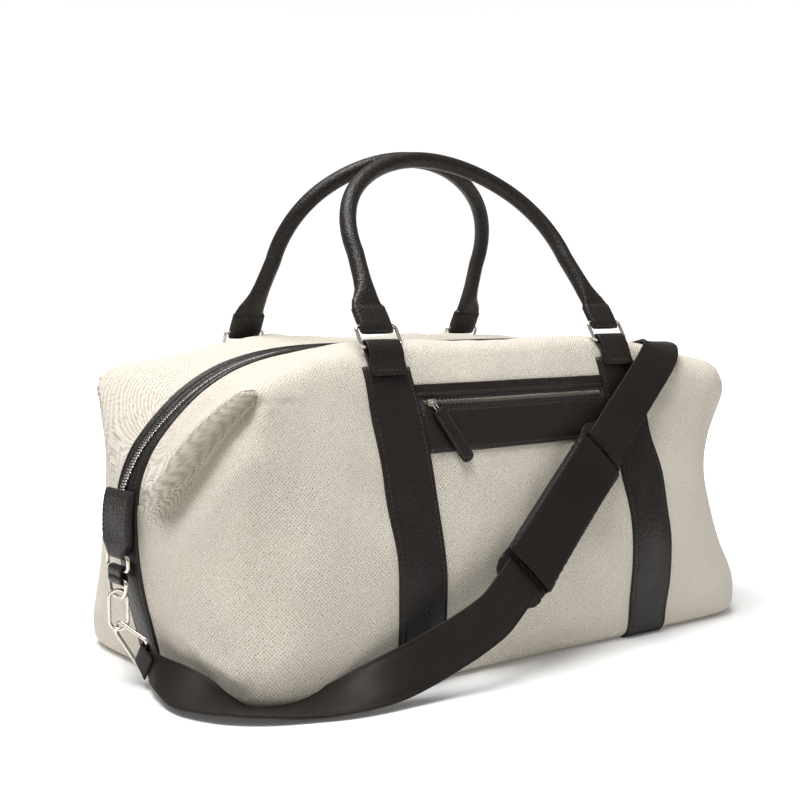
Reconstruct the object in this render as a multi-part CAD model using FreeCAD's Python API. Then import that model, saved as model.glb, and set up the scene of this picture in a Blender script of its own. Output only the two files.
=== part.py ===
"""Canvas and leather duffel bag, in millimetres.

+X runs along the bag's length, -Y is the front with the zipped pocket, +Z is up.
The origin is the middle of the bag's base, on the surface that it stands on.
"""
import FreeCAD, Part
import os
from math import cos, sin, tan, radians, degrees
from FreeCAD import Vector, Rotation, Placement

os.makedirs("parts", exist_ok=True)

# ---------------------------------------------------------------- driving dimensions
CANVAS = 2.0             # thickness of the bonded canvas wall
LINING = 0.8             # cotton lining
LINING_GAP = 0.2
LEATHER = 2.4            # leather strips sewn on the canvas
BOARD = 3.0              # stiff board in the base

STRAP_X = 131.0          # centre lines of the four upright leather straps
STRAP_WIDTH = 48.0
LOOP_WIDTH = 34.0        # folded strap top that holds a handle ring
LOOP_LENGTH = 21.0

WIRE = 3.0               # wire of the rings
BAR_HOLE = 1.9           # radius of the hole that a leather fold leaves round a ring
HANDLE_RING_WIDTH = 40.0
HANDLE_RING_HEIGHT = 19.0

ROLL = 14.4              # rolled handle's diameter
CORE = 9.2               # cotton rope inside it
HANDLE_RISE = 177.0      # from the ring's upper bar to the crown of the centre line
LEG_FOOT, LEG_TOP = 34.0, 72.0    # the round part of a leg, above the upper bar
LEG_SPREAD = 121.0       # half the distance between the legs where the arch starts
SHOULDER_TURN = 50.0     # how far the arch's tight shoulders bend before its wide crown

# Both handles lean in and meet over the zip. The ring's lower bar is at depth y and height z;
# the back panel has sagged a little, so its rings sit lower and further out.
SIDES = {"front": {"y": 104.0, "z": 265.0, "fold": 32.0, "ring_lean": 31.0, "lean": 34.0},
         "back": {"y": 111.5, "z": 255.0, "fold": 22.0, "ring_lean": 22.0, "lean": 27.5}}

ZIP_WIDTH = 6.4
ZIP_HALF_GAP = 5.0       # canvas and leather binding stop this far from the zip's middle
BINDING_EDGE = 17.0
TAB_HALF_WIDTH = 22.0
END_STRIP_HALF_WIDTH = 15.0

POCKET_HALF = 106.6      # the pocket runs between the two front straps
POCKET_TOP, POCKET_SLOT_TOP, POCKET_SLOT_BASE, POCKET_BASE = 234.0, 224.0, 214.5, 180.0
POCKET_ZIP_Z = 219.2

SHOULDER_WIDTH = 38.0
SHOULDER_THICK = 2.6
PAD_LENGTH, PAD_WIDTH, PAD_THICK = 200.0, 55.0, 8.6

# ---------------------------------------------------------------- the body's surface
# One quarter of the bag. Each station is a line up the wall from the base to the zip,
# given as (half length, half depth, height) in ten steps.
END_MIDDLE = [(280, 0, 0), (284, 0, 18), (290, 0, 40), (297, 0, 62), (302, 0, 82),
              (305, 0, 100), (307, 0, 115), (308, 0, 127), (308.5, 0, 137), (309, 0, 146)]
END_SIDE = [(280, 62, 0), (285, 62, 22), (290, 62, 48), (294, 60, 75), (296, 57, 102),
            (297, 52, 128), (297, 45, 150), (298, 34, 166), (298, 17, 173), (298, 0, 175)]
END_OUTER = [(278, 116, 0), (281, 119, 25), (280, 117, 58), (276, 113, 95), (273, 110, 135),
             (275, 108, 172), (280, 100, 200), (280, 76, 212), (275, 38, 207), (271, 0, 205)]
CORNER = [(267, 140, 0), (268, 142, 25), (262, 133, 60), (254, 124, 100), (254, 124, 145),
          (261, 130, 190), (266, 129, 226), (261, 104, 240), (248, 54, 238), (237, 0, 232)]
FACE_OUTER = [(234, 150, 0), (236, 154, 25), (232, 155, 60), (228, 152, 100), (224, 142, 150),
              (222, 132, 200), (221, 118, 241), (214, 96, 256), (205, 50, 256), (197, 0, 250)]
FACE_STRAP = [(140, 150, 0), (140, 154, 25), (140, 157, 60), (140, 157, 100), (140, 143, 152),
              (140, 126, 200), (140, 110, 247), (140, 97, 269), (140, 60, 267), (140, 0, 259)]
FACE_MIDDLE = [(50, y, z) for _, y, z in FACE_STRAP]
QUARTER = [END_MIDDLE, END_SIDE, END_OUTER, CORNER, FACE_OUTER, FACE_STRAP, FACE_MIDDLE]


def front_grid():
    """Stations of the front half, from the left end round to the right end."""
    left = [[Vector(-x, -y, z) for x, y, z in station] for station in QUARTER]
    right = [[Vector(x, -y, z) for x, y, z in station] for station in reversed(QUARTER)]
    return left + right


def offset_grid(grid, distance):
    """Move every grid point along the surface's normal, keeping the seam and base flat."""
    moved = []
    for i, station in enumerate(grid):
        before, after = grid[max(i - 1, 0)], grid[min(i + 1, len(grid) - 1)]
        row = []
        for j, point in enumerate(station):
            along = after[j] - before[j]
            if i in (0, len(grid) - 1):
                along = Vector(0, -1 if i == 0 else 1, 0)
            up = station[min(j + 1, len(station) - 1)] - station[max(j - 1, 0)]
            normal = along.cross(up).normalize()
            new = point + normal * distance
            if j == 0:
                new.z = 0
            if i in (0, len(grid) - 1) or j == len(station) - 1:
                new.y = 0
            row.append(new)
        moved.append(row)
    return moved


def smooth_surface(grid):
    """Quadratic B-spline surface with the grid as its control net, so it never overshoots."""
    def clamped(count):
        inner = count - 3
        return [3] + [1] * inner + [3], [float(k) for k in range(inner + 2)]

    u_mults, u_knots = clamped(len(grid))
    v_mults, v_knots = clamped(len(grid[0]))
    surface = Part.BSplineSurface()
    surface.buildFromPolesMultsKnots(grid, u_mults, v_mults, u_knots, v_knots, False, False, 2, 2)
    return surface.toShape()


def half_body(distance):
    """Solid front half of the bag, grown by distance, flat on y = 0 and z = 0."""
    wall = smooth_surface(offset_grid(front_grid(), distance))
    floor = [e for e in wall.Edges if e.BoundBox.ZMax < 0.01]
    seam = [e for e in wall.Edges if e.BoundBox.ZMax >= 0.01]
    ends = sorted((v.Point for v in floor[0].Vertexes), key=lambda p: p.x)
    base_line = Part.makeLine(ends[0], ends[1])
    faces = [wall] + [Part.Face(Part.Wire(Part.sortEdges(outline + [base_line])[0]))
                      for outline in (seam, floor)]
    shell = Part.makeShell(faces)
    shell.sewShape()
    solid = Part.makeSolid(shell)
    if solid.Volume < 0:
        solid.reverse()
    return solid


def mirrored(shape, normal=Vector(0, 1, 0)):
    return shape.mirror(Vector(0, 0, 0), normal)


def half_turn(shape):
    """The same piece at the other end of the bag."""
    turned = shape.copy()
    turned.rotate(Vector(0, 0, 0), Vector(0, 0, 1), 180)
    return turned


def box(low, high):
    size = [b - a for a, b in zip(low, high)]
    return Part.makeBox(*size, Vector(*low))


def upright_edges(shape):
    return [edge for edge in shape.Edges if abs(edge.tangentAt(0).z) > 0.9]


HALF = {}


def body(distance):
    """Cached front half, by how far it is grown outwards."""
    if distance not in HALF:
        HALF[distance] = half_body(distance)
    return HALF[distance]


def skin(outer, inner, region):
    """The layer between two offsets of the front half, inside a region."""
    return body(outer).common(region).cut(body(inner))


PARTS = {}


def keep(name, shape):
    """Keep one sub-part; a layer cut from the body must still be one solid."""
    solids = shape.Solids
    largest = max(solids, key=lambda s: s.Volume)
    assert largest.isValid(), name
    PARTS[name] = largest
    print(f"{name:28s} solids {len(solids)}  volume {largest.Volume / 1000:8.2f} cm3")


# ---------------------------------------------------------------- canvas, lining, base
FAR = 400.0


def zip_zone(half_width):
    """Everything near the zip line: the strip that the zip and its bindings take up."""
    return box((-FAR, -half_width, 140), (FAR, half_width, FAR))


def fabric_shell():
    everywhere = box((-FAR, -FAR, 0), (FAR, 0.0, FAR))
    wall = skin(0, -CANVAS, everywhere).cut(zip_zone(ZIP_HALF_GAP))
    slot = box((-POCKET_HALF + 8, -FAR, POCKET_ZIP_Z - 3), (POCKET_HALF - 8, -60, POCKET_ZIP_Z + 3))
    keep("canvas_front_panel", wall.cut(slot))
    keep("canvas_back_panel", mirrored(wall))

    inner = -CANVAS - LINING_GAP
    cloth = skin(inner, inner - LINING, box((-FAR, -FAR, CANVAS + LINING_GAP), (FAR, 0, FAR)))
    cloth = cloth.cut(zip_zone(ZIP_HALF_GAP + 3))
    keep("lining_front", cloth.cut(slot))
    keep("lining_back", mirrored(cloth))

    def plate(distance, low, high):
        half = body(distance).common(box((-FAR, -FAR, low), (FAR, 0, high)))
        return half.fuse(mirrored(half)).removeSplitter()

    keep("canvas_base_panel", plate(inner, 0, CANVAS))
    board_low = CANVAS + LINING_GAP
    keep("base_board", plate(-8, board_low, board_low + BOARD))
    lining_low = board_low + BOARD + LINING_GAP
    keep("lining_base", plate(inner - LINING - LINING_GAP, lining_low, lining_low + LINING))


# ---------------------------------------------------------------- upright leather straps
def leather_fold(half_width, length, thickness):
    """A strip folded round a bar on the X axis: its free end runs down along -Z."""
    round_end = Part.makeCylinder(thickness, 2 * half_width, Vector(-half_width, 0, 0), Vector(1, 0, 0))
    flat = box((-half_width, -thickness, -length), (half_width, thickness, 0))
    hole = Part.makeCylinder(BAR_HOLE, 2 * half_width, Vector(-half_width, 0, 0), Vector(1, 0, 0))
    return round_end.fuse(flat).cut(hole).removeSplitter()


def upright_straps():
    """Leather strip up each face, its top folded round the handle ring's lower bar."""
    for side, at in SIDES.items():
        for end, centre in (("left", -STRAP_X), ("right", STRAP_X)):
            half = STRAP_WIDTH / 2
            run = box((centre - half, -FAR, 0), (centre + half, -60, at["z"] - 8))
            fold = leather_fold(LOOP_WIDTH / 2, LOOP_LENGTH, 4.0)
            fold.rotate(Vector(0, 0, 0), Vector(1, 0, 0), -at["fold"])
            fold.translate(Vector(centre, -at["y"], at["z"]))
            strap = skin(LEATHER, 0, run).fuse(fold.cut(body(0))).removeSplitter()
            strap = strap.cut(bar_space(centre, at))
            keep(f"strap_{side}_{end}", strap if side == "front" else mirrored(strap))


def bar_space(centre, at):
    """Room round the ring's lower bar."""
    start = Vector(centre - STRAP_WIDTH, -at["y"], at["z"])
    return Part.makeCylinder(BAR_HOLE, 2 * STRAP_WIDTH, start, Vector(1, 0, 0))


# ---------------------------------------------------------------- wire rings
def rounded_loop(corners, radii):
    """Closed wire through corner points, each rounded to its own radius."""
    edges, previous_end, first_start = [], None, None
    count = len(corners)
    for i in range(count):
        point, radius = corners[i], radii[i]
        back = (corners[i - 1] - point).normalize()
        ahead = (corners[(i + 1) % count] - point).normalize()
        half = back.getAngle(ahead) / 2
        reach = radius / tan(half)
        start, end = point + back * reach, point + ahead * reach
        middle_way = (back + ahead).normalize()
        middle = point + middle_way * (radius / sin(half) - radius)
        if previous_end is not None:
            edges.append(Part.LineSegment(previous_end, start).toShape())
        else:
            first_start = start
        edges.append(Part.Arc(start, middle, end).toShape())
        previous_end = end
    edges.append(Part.LineSegment(previous_end, first_start).toShape())
    return edges


def sweep(edges, radius):
    """Round bar along straight and arc edges, joined into one solid."""
    pieces = []
    for edge in edges:
        start = edge.valueAt(edge.FirstParameter)
        direction = edge.tangentAt(edge.FirstParameter)
        if edge.Length < 0.05:
            continue
        section = Part.Face(Part.Wire(Part.makeCircle(radius, start, direction)))
        if isinstance(edge.Curve, Part.Line):
            pieces.append(section.extrude(edge.valueAt(edge.LastParameter) - start))
        else:
            arc = edge.Curve
            turn = degrees(edge.LastParameter - edge.FirstParameter)
            pieces.append(section.revolve(arc.Center, arc.Axis, turn))
    return pieces[0].multiFuse(pieces[1:]).removeSplitter()


def handle_ring():
    """Rectangular ring with its lower bar on the X axis, standing along +Z."""
    w, h = HANDLE_RING_WIDTH / 2, HANDLE_RING_HEIGHT
    corners = [Vector(-w, 0, 0), Vector(w, 0, 0), Vector(w, 0, h), Vector(-w, 0, h)]
    return sweep(rounded_loop(corners, [4] * 4), WIRE / 2)


def placed_ring(ring, x, at):
    ring = ring.copy()
    ring.rotate(Vector(0, 0, 0), Vector(1, 0, 0), -at["ring_lean"])
    ring.translate(Vector(x, -at["y"], at["z"]))
    return ring


def upper_bar(at):
    """Middle of the two rings' upper bars, the axis that the front handle turns on."""
    lean = radians(at["ring_lean"])
    reach = HANDLE_RING_HEIGHT
    return Vector(0, reach * sin(lean) - at["y"], reach * cos(lean) + at["z"])


def placed_handle(shape, at):
    shape = shape.copy()
    shape.rotate(Vector(0, 0, 0), Vector(1, 0, 0), -at["lean"])
    shape.translate(upper_bar(at))
    return shape


def handle_path():
    """Centre line of the rolled part: two legs and a three-centred arch."""
    arch = radians(SHOULDER_TURN)
    rise = HANDLE_RISE - LEG_TOP
    k = (1 - sin(arch)) / cos(arch)
    corner = (rise - LEG_SPREAD * k) / (1 - k)
    reach = (LEG_SPREAD - corner) / cos(arch)
    crown = corner + reach

    def on_corner(angle):
        return Vector(-LEG_SPREAD + corner - corner * cos(angle), 0, LEG_TOP + corner * sin(angle))

    def flip(point):
        return Vector(-point.x, point.y, point.z)

    foot, top = Vector(-STRAP_X + 4, 0, LEG_FOOT), Vector(-LEG_SPREAD, 0, LEG_TOP)
    join = on_corner(arch)
    summit = Vector(0, 0, LEG_TOP - reach * sin(arch) + crown)
    return [Part.LineSegment(foot, top).toShape(),
            Part.Arc(top, on_corner(arch / 2), join).toShape(),
            Part.Arc(join, summit, flip(join)).toShape(),
            Part.Arc(flip(join), flip(on_corner(arch / 2)), flip(top)).toShape(),
            Part.LineSegment(flip(top), flip(foot)).toShape()]


def rectangle(middle, half_x, half_y):
    corners = [(-half_x, -half_y), (half_x, -half_y), (half_x, half_y), (-half_x, half_y)]
    points = [middle + Vector(x, y, 0) for x, y in corners]
    return Part.makePolygon(points + points[:1])


def handle_end(x):
    """Flattened end of the handle, folded round the ring's upper bar."""
    fold = leather_fold(LOOP_WIDTH / 2 - 1, 17, 4.0)
    fold.rotate(Vector(0, 0, 0), Vector(1, 0, 0), 180)
    inward = -3 if x > 0 else 3
    flat = rectangle(Vector(0, 0, 15), 15, 3.6)
    neck = rectangle(Vector(inward, 0, LEG_FOOT + 12), 6, 5.5)
    flare = Part.makeLoft([flat, neck], True, True)
    end = fold.fuse(flare).removeSplitter()
    end.translate(Vector(x, 0, 0))
    return end


def handles():
    ring = handle_ring()
    path = handle_path()
    cover = sweep(path, ROLL / 2)
    for x in (-STRAP_X, STRAP_X):
        cover = cover.fuse(handle_end(x))
    cover = cover.cut(sweep(path, CORE / 2 + 0.1)).removeSplitter()
    core = sweep(path[1:4], CORE / 2)
    for side, at in SIDES.items():
        pieces = {f"handle_{side}": placed_handle(cover, at),
                  f"handle_{side}_core": placed_handle(core, at),
                  f"handle_ring_{side}_left": placed_ring(ring, -STRAP_X, at),
                  f"handle_ring_{side}_right": placed_ring(ring, STRAP_X, at)}
        for node, shape in pieces.items():
            keep(node, shape if side == "front" else mirrored(shape))


# ---------------------------------------------------------------- main zip
SPAN_ENDS = [-FAR, -290, -255, -190, -100, 0, 100, 190, 255, 290, FAR]


def in_spans(strip):
    """The same long strip with its thin curved faces split into short spans."""
    spans = [strip.common(box((low, -FAR, 0), (high, FAR, FAR)))
             for low, high in zip(SPAN_ENDS, SPAN_ENDS[1:])]
    return spans[0].multiFuse(spans[1:])


def main_zip():
    above_tab = box((-FAR, -BINDING_EDGE, 150), (FAR, -ZIP_WIDTH / 2 - 0.2, FAR))
    binding = in_spans(skin(LEATHER, 0.05, above_tab))
    keep("zip_binding_front", binding)
    keep("zip_binding_back", mirrored(binding))
    tape_zone = box((-FAR, -ZIP_HALF_GAP - 2.8, 150), (FAR, -0.1, FAR))
    tape = in_spans(skin(-CANVAS - 0.05, -CANVAS - 0.85, tape_zone))
    keep("zip_tape_front", tape)
    keep("zip_tape_back", mirrored(tape))
    half = skin(0.8, -CANVAS, box((-FAR, -ZIP_WIDTH / 2, 148), (FAR, 0, FAR)))
    keep("zip_teeth", in_spans(half.fuse(mirrored(half)).removeSplitter()))


SLIDER_X = 13.0
ZIP_TOP = 259.0


PLATE = 1.2              # thickness of a slider's plate
EYE_Z = PLATE + 0.65     # height of the pull's cross bar, under the slider's bridge


def slider(length, width, bridge_turn=0.0):
    """Slider plate on the XY plane with an arched bridge that the pull's cross bar lies under."""
    plate = box((-length / 2, -width / 2, 0), (length / 2, width / 2, PLATE))
    plate = plate.makeFillet(1.0, upright_edges(plate))
    bridge = box((-3, -0.7, PLATE - 0.1), (3, 0.7, PLATE + 2.0))
    bridge = bridge.cut(box((-2.1, -1, PLATE), (2.1, 1, PLATE + 1.3)))
    bridge.rotate(Vector(0, 0, 0), Vector(0, 0, 1), bridge_turn)
    return plate.fuse(bridge).removeSplitter()


def pull_tab(length, width, thickness):
    """Leather pull along +X on two wire arms, turning on a cross bar on the Y axis."""
    tab_start, wire, arm_y = 7.5, 0.5, 1.6
    tab = box((tab_start, -width / 2, 0), (length, width / 2, thickness))
    tab = tab.makeFillet(width / 4, upright_edges(tab))
    pieces = [Part.makeCylinder(wire, 2 * arm_y, Vector(0, -arm_y, 0), Vector(0, 1, 0))]
    for y in (-arm_y, arm_y):
        pieces.append(Part.makeSphere(wire, Vector(0, y, 0)))
        pieces.append(Part.makeCylinder(wire, tab_start + 1, Vector(0, y, 0), Vector(1, 0, 0)))
    return tab.multiFuse(pieces).removeSplitter()


def main_sliders():
    for side, name in ((-1, "left"), (1, "right")):
        place = Vector(side * SLIDER_X, 0, ZIP_TOP + 1.3)
        piece, pull = slider(13, 6), pull_tab(46, 11, 1.6)
        if side < 0:
            pull = mirrored(pull, Vector(1, 0, 0))
        piece.translate(place)
        pull.translate(place + Vector(0, 0, EYE_Z))
        keep(f"zip_slider_{name}", piece)
        keep(f"zip_pull_{name}", pull)


# ---------------------------------------------------------------- front pocket
def pocket():
    def band(low, high, outer, inner=0.05, half=POCKET_HALF):
        return skin(outer, inner, box((-half, -FAR, low), (half, -60, high)))

    keep("pocket_upper_band", band(POCKET_SLOT_TOP, POCKET_TOP, LEATHER))
    keep("pocket_lower_band", band(POCKET_BASE, POCKET_SLOT_BASE, LEATHER))
    keep("pocket_zip_tape", band(POCKET_SLOT_BASE + 0.1, POCKET_SLOT_TOP - 0.1, 0.8))
    keep("pocket_zip_teeth", band(POCKET_ZIP_Z - 2.2, POCKET_ZIP_Z + 2.2, 1.6, 0.85, POCKET_HALF - 6))
    pouch_region = box((-POCKET_HALF + 4, -FAR, 95), (POCKET_HALF - 4, -60, 230))
    first = -CANVAS - LINING_GAP - LINING - LINING_GAP
    outer = skin(first, first - 3.4, pouch_region)
    room = box((-POCKET_HALF + 6, -FAR, 97), (POCKET_HALF - 6, -60, 235))
    hollow = skin(first - LINING, first - 3.4 + LINING, room)
    keep("pocket_bag", outer.cut(hollow))

    face_y, face_lean, pull_turn = -120.8, 21.0, -58.0
    piece, pull = slider(9, 6, pull_turn), pull_tab(50, 11.5, 2.0)
    pull.rotate(Vector(0, 0, 0), Vector(0, 0, 1), pull_turn)
    pull.translate(Vector(0, 0, EYE_Z))
    for name, shape in (("pocket_zip_slider", piece), ("pocket_zip_pull", pull)):
        shape.rotate(Vector(0, 0, 0), Vector(1, 0, 0), 90 - face_lean)
        shape.translate(Vector(-95, face_y - 1.0, POCKET_ZIP_Z))
        keep(name, shape)


# ---------------------------------------------------------------- zip ends and clipped hardware
TAB_BAR_Z, LINK_TOP_Z, LINK_BASE_Z, D_BASE_Z = 104.0, 91.5, 83.5, 70.0
HOOK_TOP_Z, HOOK_BASE_Z = 74.9, 43.4
CHAIN_X = -313.0
HOOK_TURN = 45.0


def end_leather():
    strip = skin(LEATHER, 0.05, box((-FAR, -END_STRIP_HALF_WIDTH, 0), (-200, 0, 147)))
    strip = strip.fuse(mirrored(strip)).removeSplitter()
    half_tab = skin(LEATHER + 3.2, LEATHER + 0.2, box((-FAR, -TAB_HALF_WIDTH, 109), (-250, 0, 153)))
    tab = half_tab.fuse(mirrored(half_tab))
    fold = leather_fold(13, 16, 3.9)
    fold.rotate(Vector(0, 0, 0), Vector(0, 0, 1), 90)
    fold.rotate(Vector(0, 0, 0), Vector(0, 1, 0), 180)
    fold.translate(Vector(CHAIN_X, 0, TAB_BAR_Z))
    for half in (body(LEATHER + 0.2), mirrored(body(LEATHER + 0.2))):
        fold = fold.cut(half)
    return {"end_strip": strip, "end_tab": tab.fuse(fold).removeSplitter()}


def link_loop():
    profile = leather_fold(10.5, 4.1, 3.8)
    lower = leather_fold(10.5, 4.1, 3.8)
    lower.rotate(Vector(0, 0, 0), Vector(1, 0, 0), 180)
    lower.translate(Vector(0, 0, LINK_BASE_Z - LINK_TOP_Z))
    link = profile.fuse(lower).removeSplitter()
    link.rotate(Vector(0, 0, 0), Vector(0, 0, 1), 90)
    link.translate(Vector(CHAIN_X, 0, LINK_TOP_Z))
    return link


def clip_hook():
    """Oval snap hook, turned so that it crosses the ring's bow; returns frame and gate."""
    half = 7.5
    corners = [Vector(x, 0, z) for x, z in ((-half, HOOK_BASE_Z), (half, HOOK_BASE_Z),
                                            (half, HOOK_TOP_Z), (-half, HOOK_TOP_Z))]
    oval = sweep(rounded_loop(corners, [half - 0.1] * 4), 1.4)
    mouth = box((half - 3, -3, 51.1), (half + 3, 3, 67.2))
    gate = Part.makeCylinder(1.3, 15.2, Vector(half, 0, 51.8), Vector(0, 0, 1))
    placed = []
    for shape in (oval.cut(mouth), gate):
        shape.rotate(Vector(0, 0, 0), Vector(0, 0, 1), -HOOK_TURN)
        shape.translate(Vector(CHAIN_X, 0, 0))
        placed.append(shape)
    return placed


STRAP_BAR = Vector(-303, -20, 27)      # middle of the shoulder strap's end bar
BAR_DIRECTION = Vector(0, -3, 4).normalize()
STRAP_AWAY = Vector(0, -4, -3).normalize()


def strap_ring():
    """Triangular ring: a round eye under the hook and a straight bar for the strap."""
    eye = Vector(CHAIN_X, 0, HOOK_BASE_Z) - STRAP_AWAY * 4.0
    half = 14
    upper, lower = STRAP_BAR + BAR_DIRECTION * half, STRAP_BAR - BAR_DIRECTION * half
    spread = (upper - lower).normalize() * 5.5
    corners = [eye - spread, eye + spread, upper, lower]
    normal = (upper - eye).cross(lower - eye).normalize()
    flat = [p - normal * (p - eye).dot(normal) for p in corners]
    return sweep(rounded_loop(flat, [4.5, 4.5, 2.5, 2.5]), WIRE / 2)


def strap_end_loop():
    """Leather fold round the triangular ring's bar."""
    fold = leather_fold(9.4, 11, 3.6)
    x_axis, z_axis = BAR_DIRECTION, STRAP_AWAY * -1
    fold.Placement = Placement(STRAP_BAR, Rotation(x_axis, z_axis.cross(x_axis), z_axis, "XZY"))
    return fold


def hanging_loop(points, radii):
    """Wire loop in the vertical plane that the rings hang in, from points (y, z)."""
    corners = [Vector(CHAIN_X, y, z) for y, z in points]
    return sweep(rounded_loop(corners, radii), WIRE / 2)


def end_hardware():
    tab_ring = hanging_loop([(-17.5, LINK_TOP_Z), (17.5, LINK_TOP_Z),
                             (17.5, TAB_BAR_Z), (-17.5, TAB_BAR_Z)], [4, 4, 4, 4])
    d_ring = hanging_loop([(-15, LINK_BASE_Z), (-12, D_BASE_Z),
                           (12, D_BASE_Z), (15, LINK_BASE_Z)], [3, 8, 8, 3])
    hook, gate = clip_hook()
    pieces = dict(end_leather(), tab_ring=tab_ring, link_loop=link_loop(), d_ring=d_ring,
                  hook=hook, hook_gate=gate, strap_ring=strap_ring(), strap_end_loop=strap_end_loop())
    for name, shape in pieces.items():
        keep(f"{name}_left", shape)
        keep(f"{name}_right", half_turn(shape))


# ---------------------------------------------------------------- shoulder strap
# The strap's centre line, chosen by hand: from the left ring down to the surface, round the
# front corner, straight up across the front, over the top, down the back to the right ring.
# Each point has the direction that the strap's flat side faces there.
ROUTE = [((-303, -31.6, 18.3), (-1, 0, 0)),
         ((-306, -58, 18), (-0.5, 0, 0.85)),
         ((-308, -98, 10.5), (-0.3, 0, 1)),
         ((-299, -139, 5), (-0.1, 0, 1)),
         ((-273, -171, 4), (0, 0, 1)),
         ((-236, -188, 5), (0, -0.1, 1)),
         ((-194, -197, 9), (0, -0.35, 1)),
         ((-152, -202, 18), (0, -0.9, 1)),
         ((-108, -197, 35), (0, -1, 0.35)),
         ((186, -119, 254), (0, -1, 0.42)),
         ((206, -94, 270), (0, -0.3, 1)),
         ((213, -56, 269), (0, 0, 1)),
         ((218, -15, 263), (0, 0, 1)),
         ((221, 30, 264), (0, 0, 1)),
         ((223, 74, 267), (0, 0, 1)),
         ((226, 109, 262), (0, 0.6, 1)),
         ((231, 136, 238), (0, 1, 0.3)),
         ((238, 157, 196), (0, 1, 0.3)),
         ((248, 171, 146), (0.15, 1, 0.2)),
         ((262, 181, 98), (0.3, 1, 0)),
         ((282, 178, 56), (0.6, 1, 0)),
         ((303, 148, 28), (1, 0.6, 0.4)),
         ((312, 106, 16), (0.8, 0, 1)),
         ((308, 64, 18), (0.55, 0, 0.85)),
         ((303, 31.6, 18.3), (1, 0, 0))]


def strap_path(points):
    """Straight runs joined by tangent arcs, as stations (point, share of the way)."""
    stations = [(points[0], 0.0)]
    edges, last = [], points[0]
    for i in range(1, len(points) - 1):
        before, here, after = points[i - 1], points[i], points[i + 1]
        back, ahead = (before - here), (after - here)
        shorter = min(back.Length, ahead.Length)
        back.normalize()
        ahead.normalize()
        turn = radians(180) - back.getAngle(ahead)
        reach = 0.45 * shorter
        radius = reach / tan(turn / 2)
        print(f"   route point {i:2d}: turn {degrees(turn):5.1f}, radius {radius:7.1f}")
        start, end = here + back * reach, here + ahead * reach
        bulge = (back + ahead).normalize() * (radius / cos(turn / 2) - radius)
        arc = Part.Arc(start, here + bulge, end).toShape()
        edges += [Part.LineSegment(last, start).toShape(), arc]
        steps = max(2, int(degrees(turn) / 12) + 1)
        for k in range(steps + 1):
            share = k / steps
            spot = arc.valueAt(arc.FirstParameter + share * (arc.LastParameter - arc.FirstParameter))
            stations.append((spot, i - 0.45 + 0.9 * share))
        last = end
    edges.append(Part.LineSegment(last, points[-1]).toShape())
    stations.append((points[-1], len(points) - 1.0))
    return stations, sum(e.Length for e in edges)


def strap_sections(points, facing):
    """Flat rectangles across the path, turning evenly from one facing to the next."""
    stations, length = strap_path(points)
    into_right_ring = Vector(0, STRAP_AWAY.y, -STRAP_AWAY.z)
    sections = []
    for k, (spot, share) in enumerate(stations):
        ahead = stations[min(k + 1, len(stations) - 1)][0] - stations[max(k - 1, 0)][0]
        if k == 0:
            ahead = STRAP_AWAY
        if k == len(stations) - 1:
            ahead = into_right_ring
        i = min(int(share), len(facing) - 2)
        out = facing[i] * (1 - share + i) + facing[i + 1] * (share - i)
        across = ahead.cross(out).normalize()
        out = across.cross(ahead).normalize()
        w, t = across * (SHOULDER_WIDTH / 2), out * (SHOULDER_THICK / 2)
        corners = [spot - w - t, spot + w - t, spot + w + t, spot - w + t]
        sections.append(Part.makePolygon(corners + corners[:1]))
    return sections, length


def shoulder_strap():
    points = [Vector(*p) for p, _ in ROUTE]
    facing = [Vector(*n).normalize() for _, n in ROUTE]
    sections, length = strap_sections(points, facing)
    strap = Part.makeLoft(sections, True, True)
    print(f"   strap length {length:.0f}, volume over section times length "
          f"{strap.Volume / (length * SHOULDER_WIDTH * SHOULDER_THICK):.3f}")
    keep("shoulder_strap", strap)


def strap_frame(first, share):
    """Placement part of the way along a straight run: X along it, Z away from the bag."""
    (a, out_a), (b, out_b) = [(Vector(*p), Vector(*n)) for p, n in ROUTE[first:first + 2]]
    along = (b - a).normalize()
    out = out_a * (1 - share) + out_b * share
    across = out.cross(along).normalize()
    return Placement(a + (b - a) * share, Rotation(along, across, along.cross(across), "XZY"))


def strap_adjuster():
    """Three-bar slide: the outer bars lie over the strap and the middle one under it."""
    half, post, reach, height = SHOULDER_WIDTH / 2 + 1.4, 2.2, 7.5, 3.9
    frame = [box((-reach, side - post / 2, -height), (reach, side + post / 2, height))
             for side in (-half - post / 2, half + post / 2)]
    bars = [(-reach + 1.3, 1), (0, -1), (reach - 1.3, 1)]
    for x, face in bars:
        low, high = sorted((face * height, face * (height - 1.4)))
        frame.append(box((x - 1.3, -half - 1, low), (x + 1.3, half + 1, high)))
    slide = frame[0].multiFuse(frame[1:]).removeSplitter()
    slide.Placement = strap_frame(18, 0.5)
    keep("strap_adjuster", slide)


def shoulder_pad():
    """Padded sleeve that slides on the strap's straight run."""
    low = (-PAD_LENGTH / 2, -PAD_WIDTH / 2, -PAD_THICK / 2)
    high = (PAD_LENGTH / 2, PAD_WIDTH / 2, PAD_THICK / 2)
    pad = box(low, high)
    pad = pad.makeFillet(12, upright_edges(pad))
    half_width, half_thick = SHOULDER_WIDTH / 2 + 1, SHOULDER_THICK / 2 + 0.7
    tunnel = box((-PAD_LENGTH, -half_width, -half_thick), (PAD_LENGTH, half_width, half_thick))
    pad = pad.cut(tunnel)
    pad.Placement = strap_frame(8, 0.418)
    keep("shoulder_pad", pad)


# ---------------------------------------------------------------- build
def build():
    fabric_shell()
    upright_straps()
    handles()
    main_zip()
    main_sliders()
    pocket()
    end_hardware()
    shoulder_strap()
    strap_adjuster()
    shoulder_pad()
    for name, shape in PARTS.items():
        shape.exportStep(f"parts/{name}.step")
    print(len(PARTS), "parts")


build()
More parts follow.
